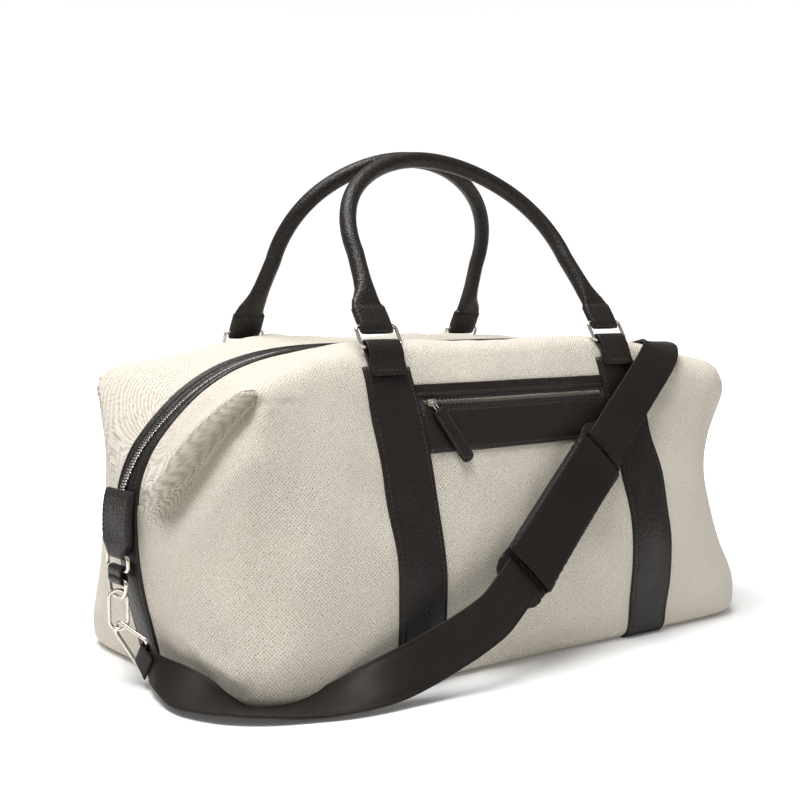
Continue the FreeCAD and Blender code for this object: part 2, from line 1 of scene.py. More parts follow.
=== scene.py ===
"""Canvas and leather duffel bag: its looks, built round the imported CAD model.

Shapes are worked out in millimetres in the CAD's frame (+X along the bag, -Y the front, +Z up)
and turned into metres when a mesh is made.
"""
import math
import bmesh
import bpy
import numpy as np
from mathutils import Matrix, Vector
from mathutils.bvhtree import BVHTree


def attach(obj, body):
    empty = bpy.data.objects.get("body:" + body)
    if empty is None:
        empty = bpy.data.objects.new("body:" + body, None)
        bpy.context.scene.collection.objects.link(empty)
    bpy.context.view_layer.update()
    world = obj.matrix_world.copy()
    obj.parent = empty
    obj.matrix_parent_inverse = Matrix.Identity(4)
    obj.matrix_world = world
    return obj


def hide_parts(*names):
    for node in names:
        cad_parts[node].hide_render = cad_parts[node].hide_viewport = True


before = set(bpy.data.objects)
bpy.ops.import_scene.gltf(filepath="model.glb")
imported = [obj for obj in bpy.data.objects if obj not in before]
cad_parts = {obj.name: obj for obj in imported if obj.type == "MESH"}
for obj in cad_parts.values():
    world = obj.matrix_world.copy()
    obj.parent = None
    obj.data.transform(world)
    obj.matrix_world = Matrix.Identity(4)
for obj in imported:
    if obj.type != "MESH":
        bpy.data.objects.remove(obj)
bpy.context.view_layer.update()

MM = 0.001
SIDES = (("front", -1), ("back", 1))
ENDS = (("left", -1), ("right", 1))


# ---------------------------------------------------------------- small tools
def unit(vectors):
    vectors = np.asarray(vectors, float)
    return vectors / np.maximum(np.linalg.norm(vectors, axis=-1, keepdims=True), 1e-9)


def ease(value, low, high):
    """0 below low, 1 above high, smooth in between."""
    share = np.clip((np.asarray(value, float) - low) / (high - low), 0, 1)
    return share * share * (3 - 2 * share)


def ripple(points, wavelength, seed, waves=7):
    """Smooth uneven field over space, about -1 to 1, the same on every run."""
    rng = np.random.default_rng(seed)
    total = np.zeros(points.shape[:-1])
    for _ in range(waves):
        way = unit(rng.normal(size=3))
        length = wavelength * rng.uniform(0.7, 1.6)
        total += np.sin(points @ way * (2 * math.pi / length) + rng.uniform(0, 2 * math.pi))
    return total / math.sqrt(waves)


def distances_along(line):
    """How far along a line each of its points lies."""
    return np.concatenate([[0], np.linalg.norm(np.diff(line, axis=0), axis=1).cumsum()])


def ways_along(line):
    """The way a line is heading at each of its points."""
    return unit(np.gradient(np.asarray(line, float), axis=0))


def facing_up(ahead):
    """At right angles to a line that heads ahead in an X-Z plane."""
    return np.stack([-ahead[:, 2], np.zeros(len(ahead)), ahead[:, 0]], 1)


def circle(count):
    """Evenly spaced angles, once round."""
    return np.linspace(0, 2 * math.pi, count, endpoint=False)


def resample(line, step):
    """Evenly spaced points along a line, and how far along each one lies."""
    line = np.asarray(line, float)
    along = distances_along(line)
    spots = np.linspace(0, along[-1], max(3, int(round(along[-1] / step)) + 1))
    return np.stack([np.interp(spots, along, line[:, k]) for k in range(3)], 1), spots


# ---------------------------------------------------------------- materials
def node(tree, kind, inputs=None, output=0, **settings):
    """Add one shader node; an input that is a socket is linked, anything else is set."""
    made = tree.nodes.new(kind)
    for key, value in settings.items():
        setattr(made, key, value)
    for key, value in (inputs or {}).items():
        if isinstance(value, bpy.types.NodeSocket):
            tree.links.new(value, made.inputs[key])
        else:
            made.inputs[key].default_value = value
    return made.outputs[output]


def maths(tree, operation, *values, clamp=False):
    return node(tree, "ShaderNodeMath", dict(enumerate(values)), operation=operation, use_clamp=clamp)


def noise(tree, where, scale, detail=3.0, roughness=0.55):
    return node(tree, "ShaderNodeTexNoise",
                {"Vector": where, "Scale": scale, "Detail": detail, "Roughness": roughness})


def colour_between(tree, share, first, second):
    return node(tree, "ShaderNodeMix", {0: share, 6: (*first, 1), 7: (*second, 1)}, output=2,
                data_type="RGBA")


def spread(tree, value, low, high, to_low, to_high):
    return node(tree, "ShaderNodeMapRange", {"Value": value, "From Min": low, "From Max": high,
                                             "To Min": to_low, "To Max": to_high})


def stretched(tree, where, scale):
    return node(tree, "ShaderNodeVectorMath", {0: where, 1: scale}, operation="MULTIPLY")


def new_material(name, **sockets):
    """A principled material, its node tree and the place on the object that patterns hang on."""
    material = bpy.data.materials.new(name)
    material.use_nodes = True
    tree = material.node_tree
    shader = tree.nodes["Principled BSDF"]
    for socket, value in sockets.items():
        shader.inputs[socket.replace("_", " ")].default_value = value
    place = node(tree, "ShaderNodeTexCoord", output=3)
    return material, tree, shader, place


def finish(tree, shader, colour, roughness, height, distance, strength=1.0):
    relief = node(tree, "ShaderNodeBump", {"Strength": strength, "Distance": distance, "Height": height})
    tree.links.new(colour, shader.inputs["Base Color"])
    tree.links.new(roughness, shader.inputs["Roughness"])
    tree.links.new(relief, shader.inputs["Normal"])


THREAD_PITCH = 0.0015
THREAD_WANDER = 0.0036   # how far the threads stray from straight
GAP_COLOUR = (0.25, 0.20, 0.14, 1)
YARN_DARK, YARN_PALE = (0.62, 0.55, 0.44), (0.84, 0.79, 0.70)


def canvas():
    """Coarse cream weave with dark gaps in staggered rows, laid out by the panels' own lengths."""
    material, tree, shader, place = new_material("canvas", Sheen_Weight=0.12, Specular_IOR_Level=0.2)
    flat = node(tree, "ShaderNodeUVMap", uv_map="weave")
    parts = tree.nodes.new("ShaderNodeSeparateXYZ")
    wobbles = [noise(tree, stretched(tree, flat, scale), 1.0, 2.0)
               for scale in ((190, 150, 1), (150, 210, 1))]
    shift = stretched(tree, node(tree, "ShaderNodeCombineXYZ", dict(enumerate(wobbles))),
                      (THREAD_WANDER, THREAD_WANDER, 0))
    shifted = node(tree, "ShaderNodeVectorMath", {0: flat, 1: shift}, operation="ADD")
    tree.links.new(shifted, parts.inputs[0])
    waves = [maths(tree, "SINE", maths(tree, "MULTIPLY", parts.outputs[k], math.pi / THREAD_PITCH))
             for k in (0, 1)]
    crossing = maths(tree, "MULTIPLY", *waves)
    worn = noise(tree, stretched(tree, flat, (420, 420, 1)), 1.0)
    cloud = noise(tree, place, 14.0, 4.0)
    uneven = maths(tree, "ADD", worn, maths(tree, "MULTIPLY", cloud, 0.5))
    gap = maths(tree, "MULTIPLY", spread(tree, crossing, 0.18, 0.62, 0.0, 1.0),
                spread(tree, uneven, 0.5, 1.0, 0.25, 1.0))
    across = noise(tree, stretched(tree, flat, (160, 900, 1)), 1.0)
    upwards = noise(tree, stretched(tree, flat, (800, 190, 1)), 1.0)
    fleck = spread(tree, maths(tree, "ADD", across, upwards), 0.86, 1.14, 0.0, 1.0)
    light = maths(tree, "ADD", maths(tree, "MULTIPLY", fleck, 0.45),
                  spread(tree, cloud, 0.3, 0.7, 0.35, 0.55), clamp=True)
    yarn = colour_between(tree, light, YARN_DARK, YARN_PALE)
    colour = node(tree, "ShaderNodeMix", {0: gap, 6: yarn, 7: GAP_COLOUR}, output=2, data_type="RGBA")
    height = maths(tree, "ADD", maths(tree, "MULTIPLY", gap, -0.8), maths(tree, "MULTIPLY", fleck, 0.6))
    rough = spread(tree, cloud, 0.3, 0.7, 0.86, 0.95)
    finish(tree, shader, colour, rough, height, 0.00045, 0.75)
    return material


def leather(name, dark, pale, grain=0.0019, depth=0.00055, rough=(0.36, 0.52), shine=0.32):
    """Pebbled leather: rounded cells with creases between them, slightly uneven in tone."""
    material, tree, shader, place = new_material(name, Specular_IOR_Level=shine)
    cells = node(tree, "ShaderNodeTexVoronoi", {"Vector": place, "Scale": 1 / grain, "Randomness": 1.0},
                 feature="SMOOTH_F1")
    creases = noise(tree, place, 0.35 / grain, 4.0, 0.6)
    cloud = noise(tree, place, 22.0, 3.0)
    tone = maths(tree, "ADD", maths(tree, "MULTIPLY", cells, 0.5), maths(tree, "MULTIPLY", cloud, 0.6))
    colour = colour_between(tree, spread(tree, tone, 0.3, 0.8, 0.0, 1.0), pale, dark)
    height = maths(tree, "ADD", maths(tree, "MULTIPLY", cells, -1.0), maths(tree, "MULTIPLY", creases, 0.7))
    finish(tree, shader, colour, spread(tree, cloud, 0.3, 0.7, *rough), height, depth, 0.9)
    return material


def metal(name, colour, rough):
    """Brushed plating with faint rubbed patches."""
    material, tree, shader, place = new_material(name, Metallic=1.0)
    patch = noise(tree, place, 180.0, 4.0)
    fine = noise(tree, stretched(tree, place, (900, 900, 2600)), 1.0)
    worn = tuple(0.78 * part for part in colour)
    finish(tree, shader, colour_between(tree, spread(tree, patch, 0.35, 0.7, 0.0, 0.6), colour, worn),
           spread(tree, patch, 0.3, 0.7, rough, rough + 0.16), fine, 0.00002, 0.5)
    return material


def cloth(name, dark, pale, pitch, rough=0.9):
    """Fine ribbed textile for the zip tapes, lining and cord."""
    material, tree, shader, place = new_material(name, Sheen_Weight=0.1)
    parts = tree.nodes.new("ShaderNodeSeparateXYZ")
    tree.links.new(place, parts.inputs[0])
    diagonal = maths(tree, "ADD", maths(tree, "ADD", parts.outputs[0], parts.outputs[1]), parts.outputs[2])
    rib = maths(tree, "ABSOLUTE", maths(tree, "SINE", maths(tree, "MULTIPLY", diagonal, math.pi / pitch)))
    fleck = noise(tree, place, 700.0)
    share = maths(tree, "MULTIPLY_ADD", rib, 0.5, maths(tree, "MULTIPLY", fleck, 0.5))
    finish(tree, shader, colour_between(tree, share, dark, pale),
           spread(tree, fleck, 0.3, 0.7, rough - 0.06, rough), rib, 0.0002, 0.6)
    return material


FINISHES = {
    "canvas": canvas(),
    "lining": cloth("lining", (0.30, 0.25, 0.19), (0.42, 0.36, 0.28), 0.0006),
    "board": cloth("board", (0.10, 0.085, 0.07), (0.17, 0.145, 0.12), 0.003),
    "rope": cloth("rope", (0.45, 0.40, 0.32), (0.62, 0.56, 0.46), 0.0025),
    "leather": leather("leather", (0.0075, 0.0055, 0.0046), (0.022, 0.0165, 0.0135)),
    "strap_leather": leather("strap_leather", (0.012, 0.0092, 0.0078), (0.024, 0.018, 0.0155),
                             0.0009, 0.0001, (0.46, 0.58), 0.16),
    "pad_leather": leather("pad_leather", (0.012, 0.0085, 0.0074), (0.020, 0.0148, 0.0128),
                           0.0009, 0.0001, (0.50, 0.62), 0.14),
    "metal": metal("metal", (0.80, 0.74, 0.66), 0.16),
    "zip_metal": metal("zip_metal", (0.60, 0.56, 0.51), 0.22),
    "dull_zip_metal": metal("dull_zip_metal", (0.27, 0.235, 0.20), 0.28),
    "zip_tape": cloth("zip_tape", (0.014, 0.011, 0.010), (0.040, 0.033, 0.029), 0.0007),
    "thread": cloth("thread", (0.030, 0.023, 0.019), (0.075, 0.060, 0.050), 0.0009, 0.7),
}


# ---------------------------------------------------------------- meshes
def piece(name, mesh_parts, finish_name, body="bag", stands_for=()):
    """A mesh piece in metres, riding on a body and standing for the CAD nodes that it replaces."""
    points, faces = mesh_parts
    mesh = bpy.data.meshes.new(name)
    mesh.from_pydata((np.asarray(points) * MM).tolist(), [], faces)
    shape = bmesh.new()
    shape.from_mesh(mesh)
    bmesh.ops.recalc_face_normals(shape, faces=shape.faces)
    shape.to_mesh(mesh)
    shape.free()
    mesh.polygons.foreach_set("use_smooth", [True] * len(mesh.polygons))
    mesh.materials.append(FINISHES[finish_name])
    made = bpy.data.objects.new(name, mesh)
    bpy.context.scene.collection.objects.link(made)
    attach(made, body)
    if stands_for:
        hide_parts(*stands_for)
    return made


def joined(solids):
    """Several (points, faces) as one."""
    points, faces, start = [], [], 0
    for part_points, part_faces in solids:
        points.append(np.asarray(part_points))
        faces += [tuple(k + start for k in face) for face in part_faces]
        start += len(part_points)
    return np.concatenate(points), faces


def sheet_faces(rows, columns):
    return [(i * columns + j, i * columns + j + 1, (i + 1) * columns + j + 1, (i + 1) * columns + j)
            for i in range(rows - 1) for j in range(columns - 1)]


def tube(rings):
    """Closed solid through rings of points, with a flat cap on each end."""
    rings = np.asarray(rings, float)
    count, around = rings.shape[:2]
    faces = [(i * around + j, i * around + (j + 1) % around,
              (i + 1) * around + (j + 1) % around, (i + 1) * around + j)
             for i in range(count - 1) for j in range(around)]
    faces += [tuple(reversed(range(around))), tuple(range((count - 1) * around, count * around))]
    return rings.reshape(-1, 3), faces


def flat_section(width, thickness, groove, inset):
    """Outline of a flat leather strip: soft edges and a shallow groove along each line of stitches."""
    half, top = width / 2, thickness / 2
    bevel = min(0.7, 0.45 * thickness)
    seat = half - inset
    upper = [(half, bevel - top), (half, top - bevel), (half - 0.3 * bevel, top - 0.3 * bevel),
             (half - bevel, top), (seat + 0.8, top), (seat, top - groove), (seat - 0.8, top),
             (0.4 * half, top)]
    left = [(-across, height) for across, height in reversed(upper)]
    return np.array(upper + left + [(bevel - half, -top), (half - bevel, -top)])


def ribbon(points, outs, width, thickness, groove=0.0, inset=3.5):
    """Flat strip along a line; outs say which way its face looks."""
    points = np.asarray(points, float)
    ahead = ways_along(points)
    across = unit(np.cross(ahead, outs))
    outs = np.cross(across, ahead)
    widths = np.broadcast_to(width, len(points))
    thicks = np.broadcast_to(thickness, len(points))
    rings = []
    for k, point in enumerate(points):
        section = flat_section(widths[k], thicks[k], groove, inset)
        rings.append(point + section[:, :1] * across[k] + section[:, 1:] * outs[k])
    return tube(rings)


def loft(points, across, outs, half_widths, half_thicks, powers, around=32, seam=None):
    """Rounded solid along a line; power 2 is an ellipse and more is nearer to a rectangle."""
    turn = circle(around)
    rings = []
    for k, point in enumerate(points):
        side, front = np.cos(turn), np.sin(turn)
        power = 2 / powers[k]
        side = np.sign(side) * np.abs(side) ** power * half_widths[k]
        front = np.sign(front) * np.abs(front) ** power * half_thicks[k]
        if seam is not None:
            lift = 1 + seam[1] * np.exp(-((turn - seam[0]) / 0.16) ** 2)
            side, front = side * lift, front * lift
        rings.append(point + side[:, None] * across[k] + front[:, None] * outs[k])
    return tube(rings)


STITCH_PITCH, STITCH_LENGTH, STITCH_RADIUS = 4.0, 2.7, 0.38

# Along a stitch: place as a share of its length, size as a share of its radius, height.
STITCH_SHAPE = ((-0.5, 0.35, -0.2), (-0.3, 1, 0.12), (0.3, 1, 0.12), (0.5, 0.35, -0.2))


def stitches(line, outs, pitch=STITCH_PITCH):
    """Row of short thread capsules lying on a surface."""
    spots, along = resample(line, pitch)
    way = ways_along(spots)
    share = along / along[-1]
    index = np.linspace(0, 1, len(outs))
    up = unit(np.stack([np.interp(share, index, np.asarray(outs)[:, k]) for k in range(3)], 1))
    turn = circle(5)
    solids = []
    for spot, ahead, out in zip(spots[1:-1], way[1:-1], up[1:-1]):
        across = unit(np.cross(ahead, out))
        rings = [spot + ahead * (STITCH_LENGTH * reach) + out * drop
                 + size * STITCH_RADIUS * (np.cos(turn)[:, None] * across + np.sin(turn)[:, None] * out)
                 for reach, size, drop in STITCH_SHAPE]
        solids.append(tube(rings))
    return joined(solids)


# ---------------------------------------------------------------- the canvas body
# One quarter of the bag, the same stations as the CAD surface: (half length, half depth, height)
# up the wall from the base to the zip, the control net of a quadratic B-spline.
END_MIDDLE = [(280, 0, 0), (284, 0, 18), (290, 0, 40), (297, 0, 62), (302, 0, 82),
              (305, 0, 100), (307, 0, 115), (308, 0, 127), (308.5, 0, 137), (309, 0, 146)]
END_SIDE = [(280, 62, 0), (285, 62, 22), (290, 62, 48), (294, 60, 75), (296, 57, 102),
            (297, 52, 128), (297, 45, 150), (298, 34, 166), (298, 17, 173), (298, 0, 175)]
END_OUTER = [(278, 116, 0), (281, 119, 25), (280, 117, 58), (276, 113, 95), (273, 110, 135),
             (275, 108, 172), (280, 100, 200), (280, 76, 212), (275, 38, 207), (271, 0, 205)]
CORNER = [(267, 140, 0), (268, 142, 25), (262, 133, 60), (254, 124, 100), (254, 124, 145),
          (261, 130, 190), (266, 129, 226), (261, 104, 240), (248, 54, 238), (237, 0, 232)]
FACE_OUTER = [(234, 150, 0), (236, 154, 25), (232, 155, 60), (228, 152, 100), (224, 142, 150),
              (222, 132, 200), (221, 118, 241), (214, 96, 256), (205, 50, 256), (197, 0, 250)]
FACE_STRAP = [(140, 150, 0), (140, 154, 25), (140, 157, 60), (140, 157, 100), (140, 143, 152),
              (140, 126, 200), (140, 110, 247), (140, 97, 269), (140, 60, 267), (140, 0, 259)]
FACE_MIDDLE = [(50, y, z) for _, y, z in FACE_STRAP]
QUARTER = [END_MIDDLE, END_SIDE, END_OUTER, CORNER, FACE_OUTER, FACE_STRAP, FACE_MIDDLE]

ROUND, UP = 300, 150        # grid lines round a half and up the wall
BASE_RADIUS = 11.0
ZIP_HALF_GAP = 4.6
CANVAS_THICKNESS = 2.0

# Folds in the canvas at the front left corner: the pinched ear's ridge, and the crease where
# the stuffed end sinks on the base board.
EAR_RIDGE = [(-247, -123, 228), (-255, -114, 234), (-264, -104, 230), (-273, -93, 219),
             (-280, -79, 205), (-287, -64, 188), (-293, -52, 170), (-297, -37, 156), (-301, -24, 146)]
BASE_CREASE = [(-288, -52, 49), (-287, -67, 42), (-284, -85, 34), (-281, -105, 28),
               (-277, -122, 23), (-270, -134, 20)]
# Places where the stuffed canvas stands out or sinks, for each side: middle, reach, height.
BULGES = {-1: [((268, -110, 232), (30, 45, 30), 9.0), ((262, -125, 150), (45, 60, 55), -9.0),
               ((277, -120, 30), (40, 50, 40), 4.0)],
          1: [((-268, 112, 232), (30, 45, 28), 8.0), ((-262, 125, 150), (45, 60, 50), -6.0)]}
# Where those folds are repeated: 1 or -1 to keep or mirror them along X and Y, and how strong.
CORNERS = [(1, 1, 1.0), (-1, 1, 0.08), (1, -1, 0.16), (-1, -1, 0.2)]


def b_spline_weights(count, shares):
    """How much each of the control points counts at each share of the way, for degree 2."""
    knots = np.concatenate([[0, 0], np.arange(count - 1), [count - 2, count - 2]]).astype(float)
    spots = np.clip(np.asarray(shares) * (count - 2), 0, count - 2 - 1e-9)[:, None]
    basis = ((knots[:-1] <= spots) & (spots < knots[1:])).astype(float)
    for degree in (1, 2):
        low, high = knots[:-degree - 1], knots[degree + 1:]
        rise = (spots - low) / np.maximum(knots[degree:-1] - low, 1e-9)
        fall = (high - spots) / np.maximum(high - knots[1:-degree], 1e-9)
        basis = rise * basis[:, :-1] + fall * basis[:, 1:]
    return basis


def grid_normals(points, centre):
    """Unit normals of a grid, pointing away from a centre."""
    normals = unit(np.cross(np.gradient(points, axis=0), np.gradient(points, axis=1)))
    inward = ((points - centre) * normals).sum(-1).mean() < 0
    return -normals if inward else normals


MERGE = 6.0             # how softly the nearest stretch of a fold hands over to the next

# How each fold is shaped: how far the canvas is pushed in below the line and how far down that
# reaches, how steeply it drops (wall), how much it is tucked upwards, how high the lip stands and
# how wide it is, and the shares of the line over which the fold fades in and out.
EAR_FOLD = {"push": 76.0, "reach": 50.0, "wall": 9.0, "tuck": 0.55,
            "lip": 7.0, "lip_reach": 12.0, "start": 0.2, "end": 0.16}
BASE_FOLD = {"push": 8.0, "reach": 26.0, "wall": 6.0, "tuck": 0.0,
             "lip": 2.2, "lip_reach": 9.0, "start": 0.25, "end": 0.3}


def crease(points, normals, line, strength, push, reach, wall, tuck, lip, lip_reach, start, end):
    """Fold along a line: the surface dives in just below it, tucked up behind a raised ridge."""
    flat = points.reshape(-1, 3)
    line = np.asarray(line, float)
    steps = np.diff(line, axis=0)
    lengths = np.linalg.norm(steps, axis=1)
    gap = flat[:, None] - line[:-1]
    share = np.clip((gap * steps).sum(2) / lengths ** 2, 0, 1)
    offset = gap - share[..., None] * steps
    distances = np.linalg.norm(offset, axis=2)
    reached = (np.concatenate([[0], lengths.cumsum()[:-1]]) + share * lengths) / lengths.sum()
    distance = distances.min(1)
    weight = np.exp((distance[:, None] - distances) / MERGE)
    along = (weight * reached).sum(1) / weight.sum(1)
    below = offset[np.arange(len(flat)), distances.argmin(1), 2] < 0
    fade = ease(along, 0, start) * (1 - ease(along, 1 - end, 1))
    far = np.clip(distance / reach, 0, 1)
    dive = strength * push * (1 - np.exp(-(distance / wall) ** 2)) * (1 - far) ** 2
    lift = strength * lip * np.exp(-(distance / lip_reach) ** 2)
    outward = unit(normals * [1, 1, 0.4]).reshape(-1, 3)
    inward = np.array([0, 0, tuck]) - outward
    move = outward * lift[:, None] + inward * np.where(below, dive, 0)[:, None]
    return points + (fade[:, None] * move).reshape(points.shape)


def weave_lengths(points):
    """Distance round the bag from its middle, and up the wall, for laying out the weave."""
    around = np.concatenate([np.zeros((1, UP)), np.linalg.norm(np.diff(points, axis=0), axis=2).cumsum(0)])
    around -= around[len(around) // 2]
    upwards = np.concatenate([np.zeros((len(points), 1)),
                              np.linalg.norm(np.diff(points, axis=1), axis=2).cumsum(1)], 1)
    return np.stack([around, upwards], -1).reshape(-1, 2) * MM


def half_body(side):
    """Wall of one half, columns round the bag and rows up it; side -1 is the front."""
    left = [[(-x, -y, z) for x, y, z in station] for station in QUARTER]
    right = [[(x, -y, z) for x, y, z in station] for station in reversed(QUARTER)]
    net = np.array(left + right, float)
    columns = b_spline_weights(len(net), np.linspace(0, 1, ROUND))
    rows = b_spline_weights(net.shape[1], np.linspace(0, 1, UP) ** 1.2)
    points = np.einsum("ui,ijk,vj->uvk", columns, net, rows)
    points[..., 1] *= -side
    centre = np.array([0, 0, 120.0])
    normals = grid_normals(points, centre)

    below = BASE_RADIUS - np.minimum(points[..., 2], BASE_RADIUS)
    turn_in = BASE_RADIUS - np.sqrt(np.maximum(0, BASE_RADIUS ** 2 - below ** 2))
    level = unit(normals * [1, 1, 0])
    points = points - level * turn_in[..., None]

    free = ease(np.abs(points[..., 1]), 18, 60) * ease(points[..., 2], 6, 40)
    swell = 1.7 * ripple(points, 150, 3 + side) + 0.9 * ripple(points, 60, 11 + side)
    pinch = 0.45 * ripple(points * [1, 1, 0.35], 26, 23 + side)
    points = points + normals * (free * (swell + pinch))[..., None]
    for spot, reach, height in BULGES[side]:
        near = np.exp(-(((points - spot) / reach) ** 2).sum(-1))
        points = points + normals * (height * near)[..., None]
    unfolded = points
    for flip_x, flip_y, strength in CORNERS:
        if flip_y != -side:
            continue
        flip = np.array([flip_x, flip_y, 1])
        points = crease(points, normals, np.array(EAR_RIDGE) * flip, strength, **EAR_FOLD)
        points = crease(points, normals, np.array(BASE_CREASE) * flip, strength, **BASE_FOLD)
    points[[0, -1], :, 1] = 0
    points[:, -1, 1] = 0
    return points, grid_normals(points, centre), weave_lengths(unfolded)


HALVES = {name: half_body(side) for name, side in SIDES}
CANVAS_TREE = BVHTree.FromPolygons(
    *[part.tolist() if isinstance(part, np.ndarray) else part
      for part in joined([(points.reshape(-1, 3), sheet_faces(ROUND, UP))
                          for points, _, _ in HALVES.values()])])


def lay_weave(made, lengths):
    layer = made.data.uv_layers.new(name="weave")
    corner = np.zeros(len(made.data.loops), int)
    made.data.loops.foreach_get("vertex_index", corner)
    layer.data.foreach_set("uv", lengths[corner].astype(np.float32).ravel())


def thicken(made, thickness):
    solid = made.modifiers.new("thickness", "SOLIDIFY")
    solid.thickness = thickness * MM
    solid.offset = -1.0
    solid.use_even_offset = False


BAG_MIDDLE = Vector((0, 0, 0.12))


def face_away(made):
    """Turn an open sheet's normals away from the middle of the bag."""
    mesh = made.data
    outward = sum((face.center - BAG_MIDDLE).dot(face.normal) * face.area for face in mesh.polygons)
    if outward < 0:
        mesh.flip_normals()


def wall_sheet(side_name, depth, gap):
    """The half's wall moved inwards by depth, open along the zip."""
    points, normals, _ = HALVES[side_name]
    points = points - normals * depth
    near_zip = (np.abs(points[..., 1]) < gap) & (points[..., 2] > 147)
    side = dict(SIDES)[side_name]
    points[..., 1] = np.where(near_zip, side * gap, points[..., 1])
    flags = near_zip.ravel()
    faces = [face for face in sheet_faces(ROUND, UP) if not flags[list(face)].all()]
    return points, faces


def canvas_body():
    for name, side in SIDES:
        points, faces = wall_sheet(name, 0.0, ZIP_HALF_GAP)
        wall = piece(f"canvas_{name}_wall", (points.reshape(-1, 3), faces), "canvas",
                     stands_for=[f"canvas_{name}_panel"])
        face_away(wall)
        lay_weave(wall, HALVES[name][2])
        thicken(wall, CANVAS_THICKNESS)
        points, faces = wall_sheet(name, 3.0, ZIP_HALF_GAP + 3)
        cloth_wall = piece(f"lining_{name}_cloth", (points.reshape(-1, 3), faces), "lining",
                           stands_for=[f"lining_{name}"])
        face_away(cloth_wall)
        thicken(cloth_wall, 0.8)


def base_sheet(name, inset, height, finish_name, thickness, node_name):
    """Flat bottom panel between the two walls' lower edges."""
    edges = []
    for half in ("front", "back"):
        points, normals, _ = HALVES[half]
        edge = points[:, 0] - unit(normals[:, 0] * [1, 1, 0]) * inset
        edges.append(edge * [1, 1, 0] + [0, 0, height])
    edges[0][[0, -1], 1] = edges[1][[0, -1], 1] = 0
    share = np.linspace(0, 1, 25)[:, None, None]
    points = edges[0] * (1 - share) + edges[1] * share
    points = points[:, 1:-1]
    points[..., 2] += 0.25 * ripple(points, 90, 5) ** 2
    faces = sheet_faces(*points.shape[:2])
    base = piece(name, (points.reshape(-1, 3), faces), finish_name, stands_for=[node_name])
    face_away(base)
    lay_weave(base, points.reshape(-1, 3)[:, :2] * MM)
    thicken(base, thickness)


# ---------------------------------------------------------------- leather laid on the canvas
def drape(starts, ways):
    """Where rays from outside first meet the canvas."""
    hits = []
    for start, way in zip(starts.reshape(-1, 3), ways.reshape(-1, 3)):
        spot = CANVAS_TREE.ray_cast(Vector(start), Vector(way))[0]
        if spot is None:
            raise RuntimeError(f"nothing under {start}")
        hits.append(spot)
    return np.array(hits).reshape(starts.shape)


def strip_profile(low, high, thickness, reliefs=()):
    """Offsets across a strip and its height there: soft edges, plus (place, height, half width)."""
    offsets = {low, high}
    for edge, inward in ((low, 1), (high, -1)):
        offsets |= {edge + inward * reach for reach in (0.4, 1.2)}
    for place, _, half in reliefs:
        offsets |= {place - half, place - half / 2, place, place + half / 2, place + half}
    offsets |= set(np.arange(low + 3, high - 3, 5.0))
    offsets = np.array(sorted(spot for spot in offsets if low <= spot <= high))
    inside = np.minimum(offsets - low, high - offsets)
    heights = thickness * np.interp(inside, [0, 0.4, 1.2], [0.3, 0.8, 1.0])
    for place, height, half in reliefs:
        heights += height * np.maximum(0, 1 - np.abs(offsets - place) / half)
    return offsets, heights


def laid_strip(starts, ways, heights, under=0.6):
    """Solid strip on the canvas from a grid of rays; returns it with its grid and normals."""
    grid = drape(starts, ways)
    normals = unit(np.cross(np.gradient(grid, axis=0), np.gradient(grid, axis=1)))
    facing = np.sign(-(normals * ways).sum(-1).mean())
    normals = normals * facing
    top = grid + normals * heights[None, :, None]
    bottom = grid - normals * under
    return tube(np.concatenate([top, bottom[:, ::-1]], 1)), grid, normals


def on_grid(grid, normals, offsets, across, height):
    """A line along a laid strip, at one offset across it."""
    def at(values):
        return np.stack([[np.interp(across, offsets, row[:, k]) for k in range(3)] for row in values])

    out = unit(at(normals))
    return at(grid) + out * height, out


SHOULDER_Z, SHOULDER_Y, SHOULDER_RADIUS = 180.0, 60.0, 75.0


def face_rays(x, side, levels):
    """Rays onto the front or back: level up to the shoulder, then turning over towards the zip."""
    turn = np.maximum(0, np.asarray(levels, float) - SHOULDER_Z) / SHOULDER_RADIUS
    x, turn, levels = np.broadcast_arrays(x, turn, levels)
    way_out = np.stack([np.zeros_like(turn), side * np.cos(turn), np.sin(turn)], -1)
    pivot = np.stack([x, np.full_like(turn, side * SHOULDER_Y), np.minimum(levels, SHOULDER_Z)], -1)
    return pivot + way_out * 260, -way_out


STRAP_X, STRAP_WIDTH, STRAP_THICKNESS = 131.0, 48.0, 2.4
STITCH_LINE = 20.3
FOLDS = {"front": {"y": 104.0, "z": 265.0, "fold": 32.0, "ring_lean": 31.0, "lean": 34.0},
         "back": {"y": 111.5, "z": 255.0, "fold": 22.0, "ring_lean": 22.0, "lean": 27.5}}
STRAP_TOPS = {"front": 252.0, "back": 245.0}
RING_HEIGHT = 19.0
LOOP_WIDTH = 34.0        # width of the strap's fold at the ring
FOLD_SLACK = 5.6         # how far the strap's fold reaches past the bar inside the ring
BAR_CLEARANCE = 2.9      # from a bar's middle to the middle of the leather folded round it


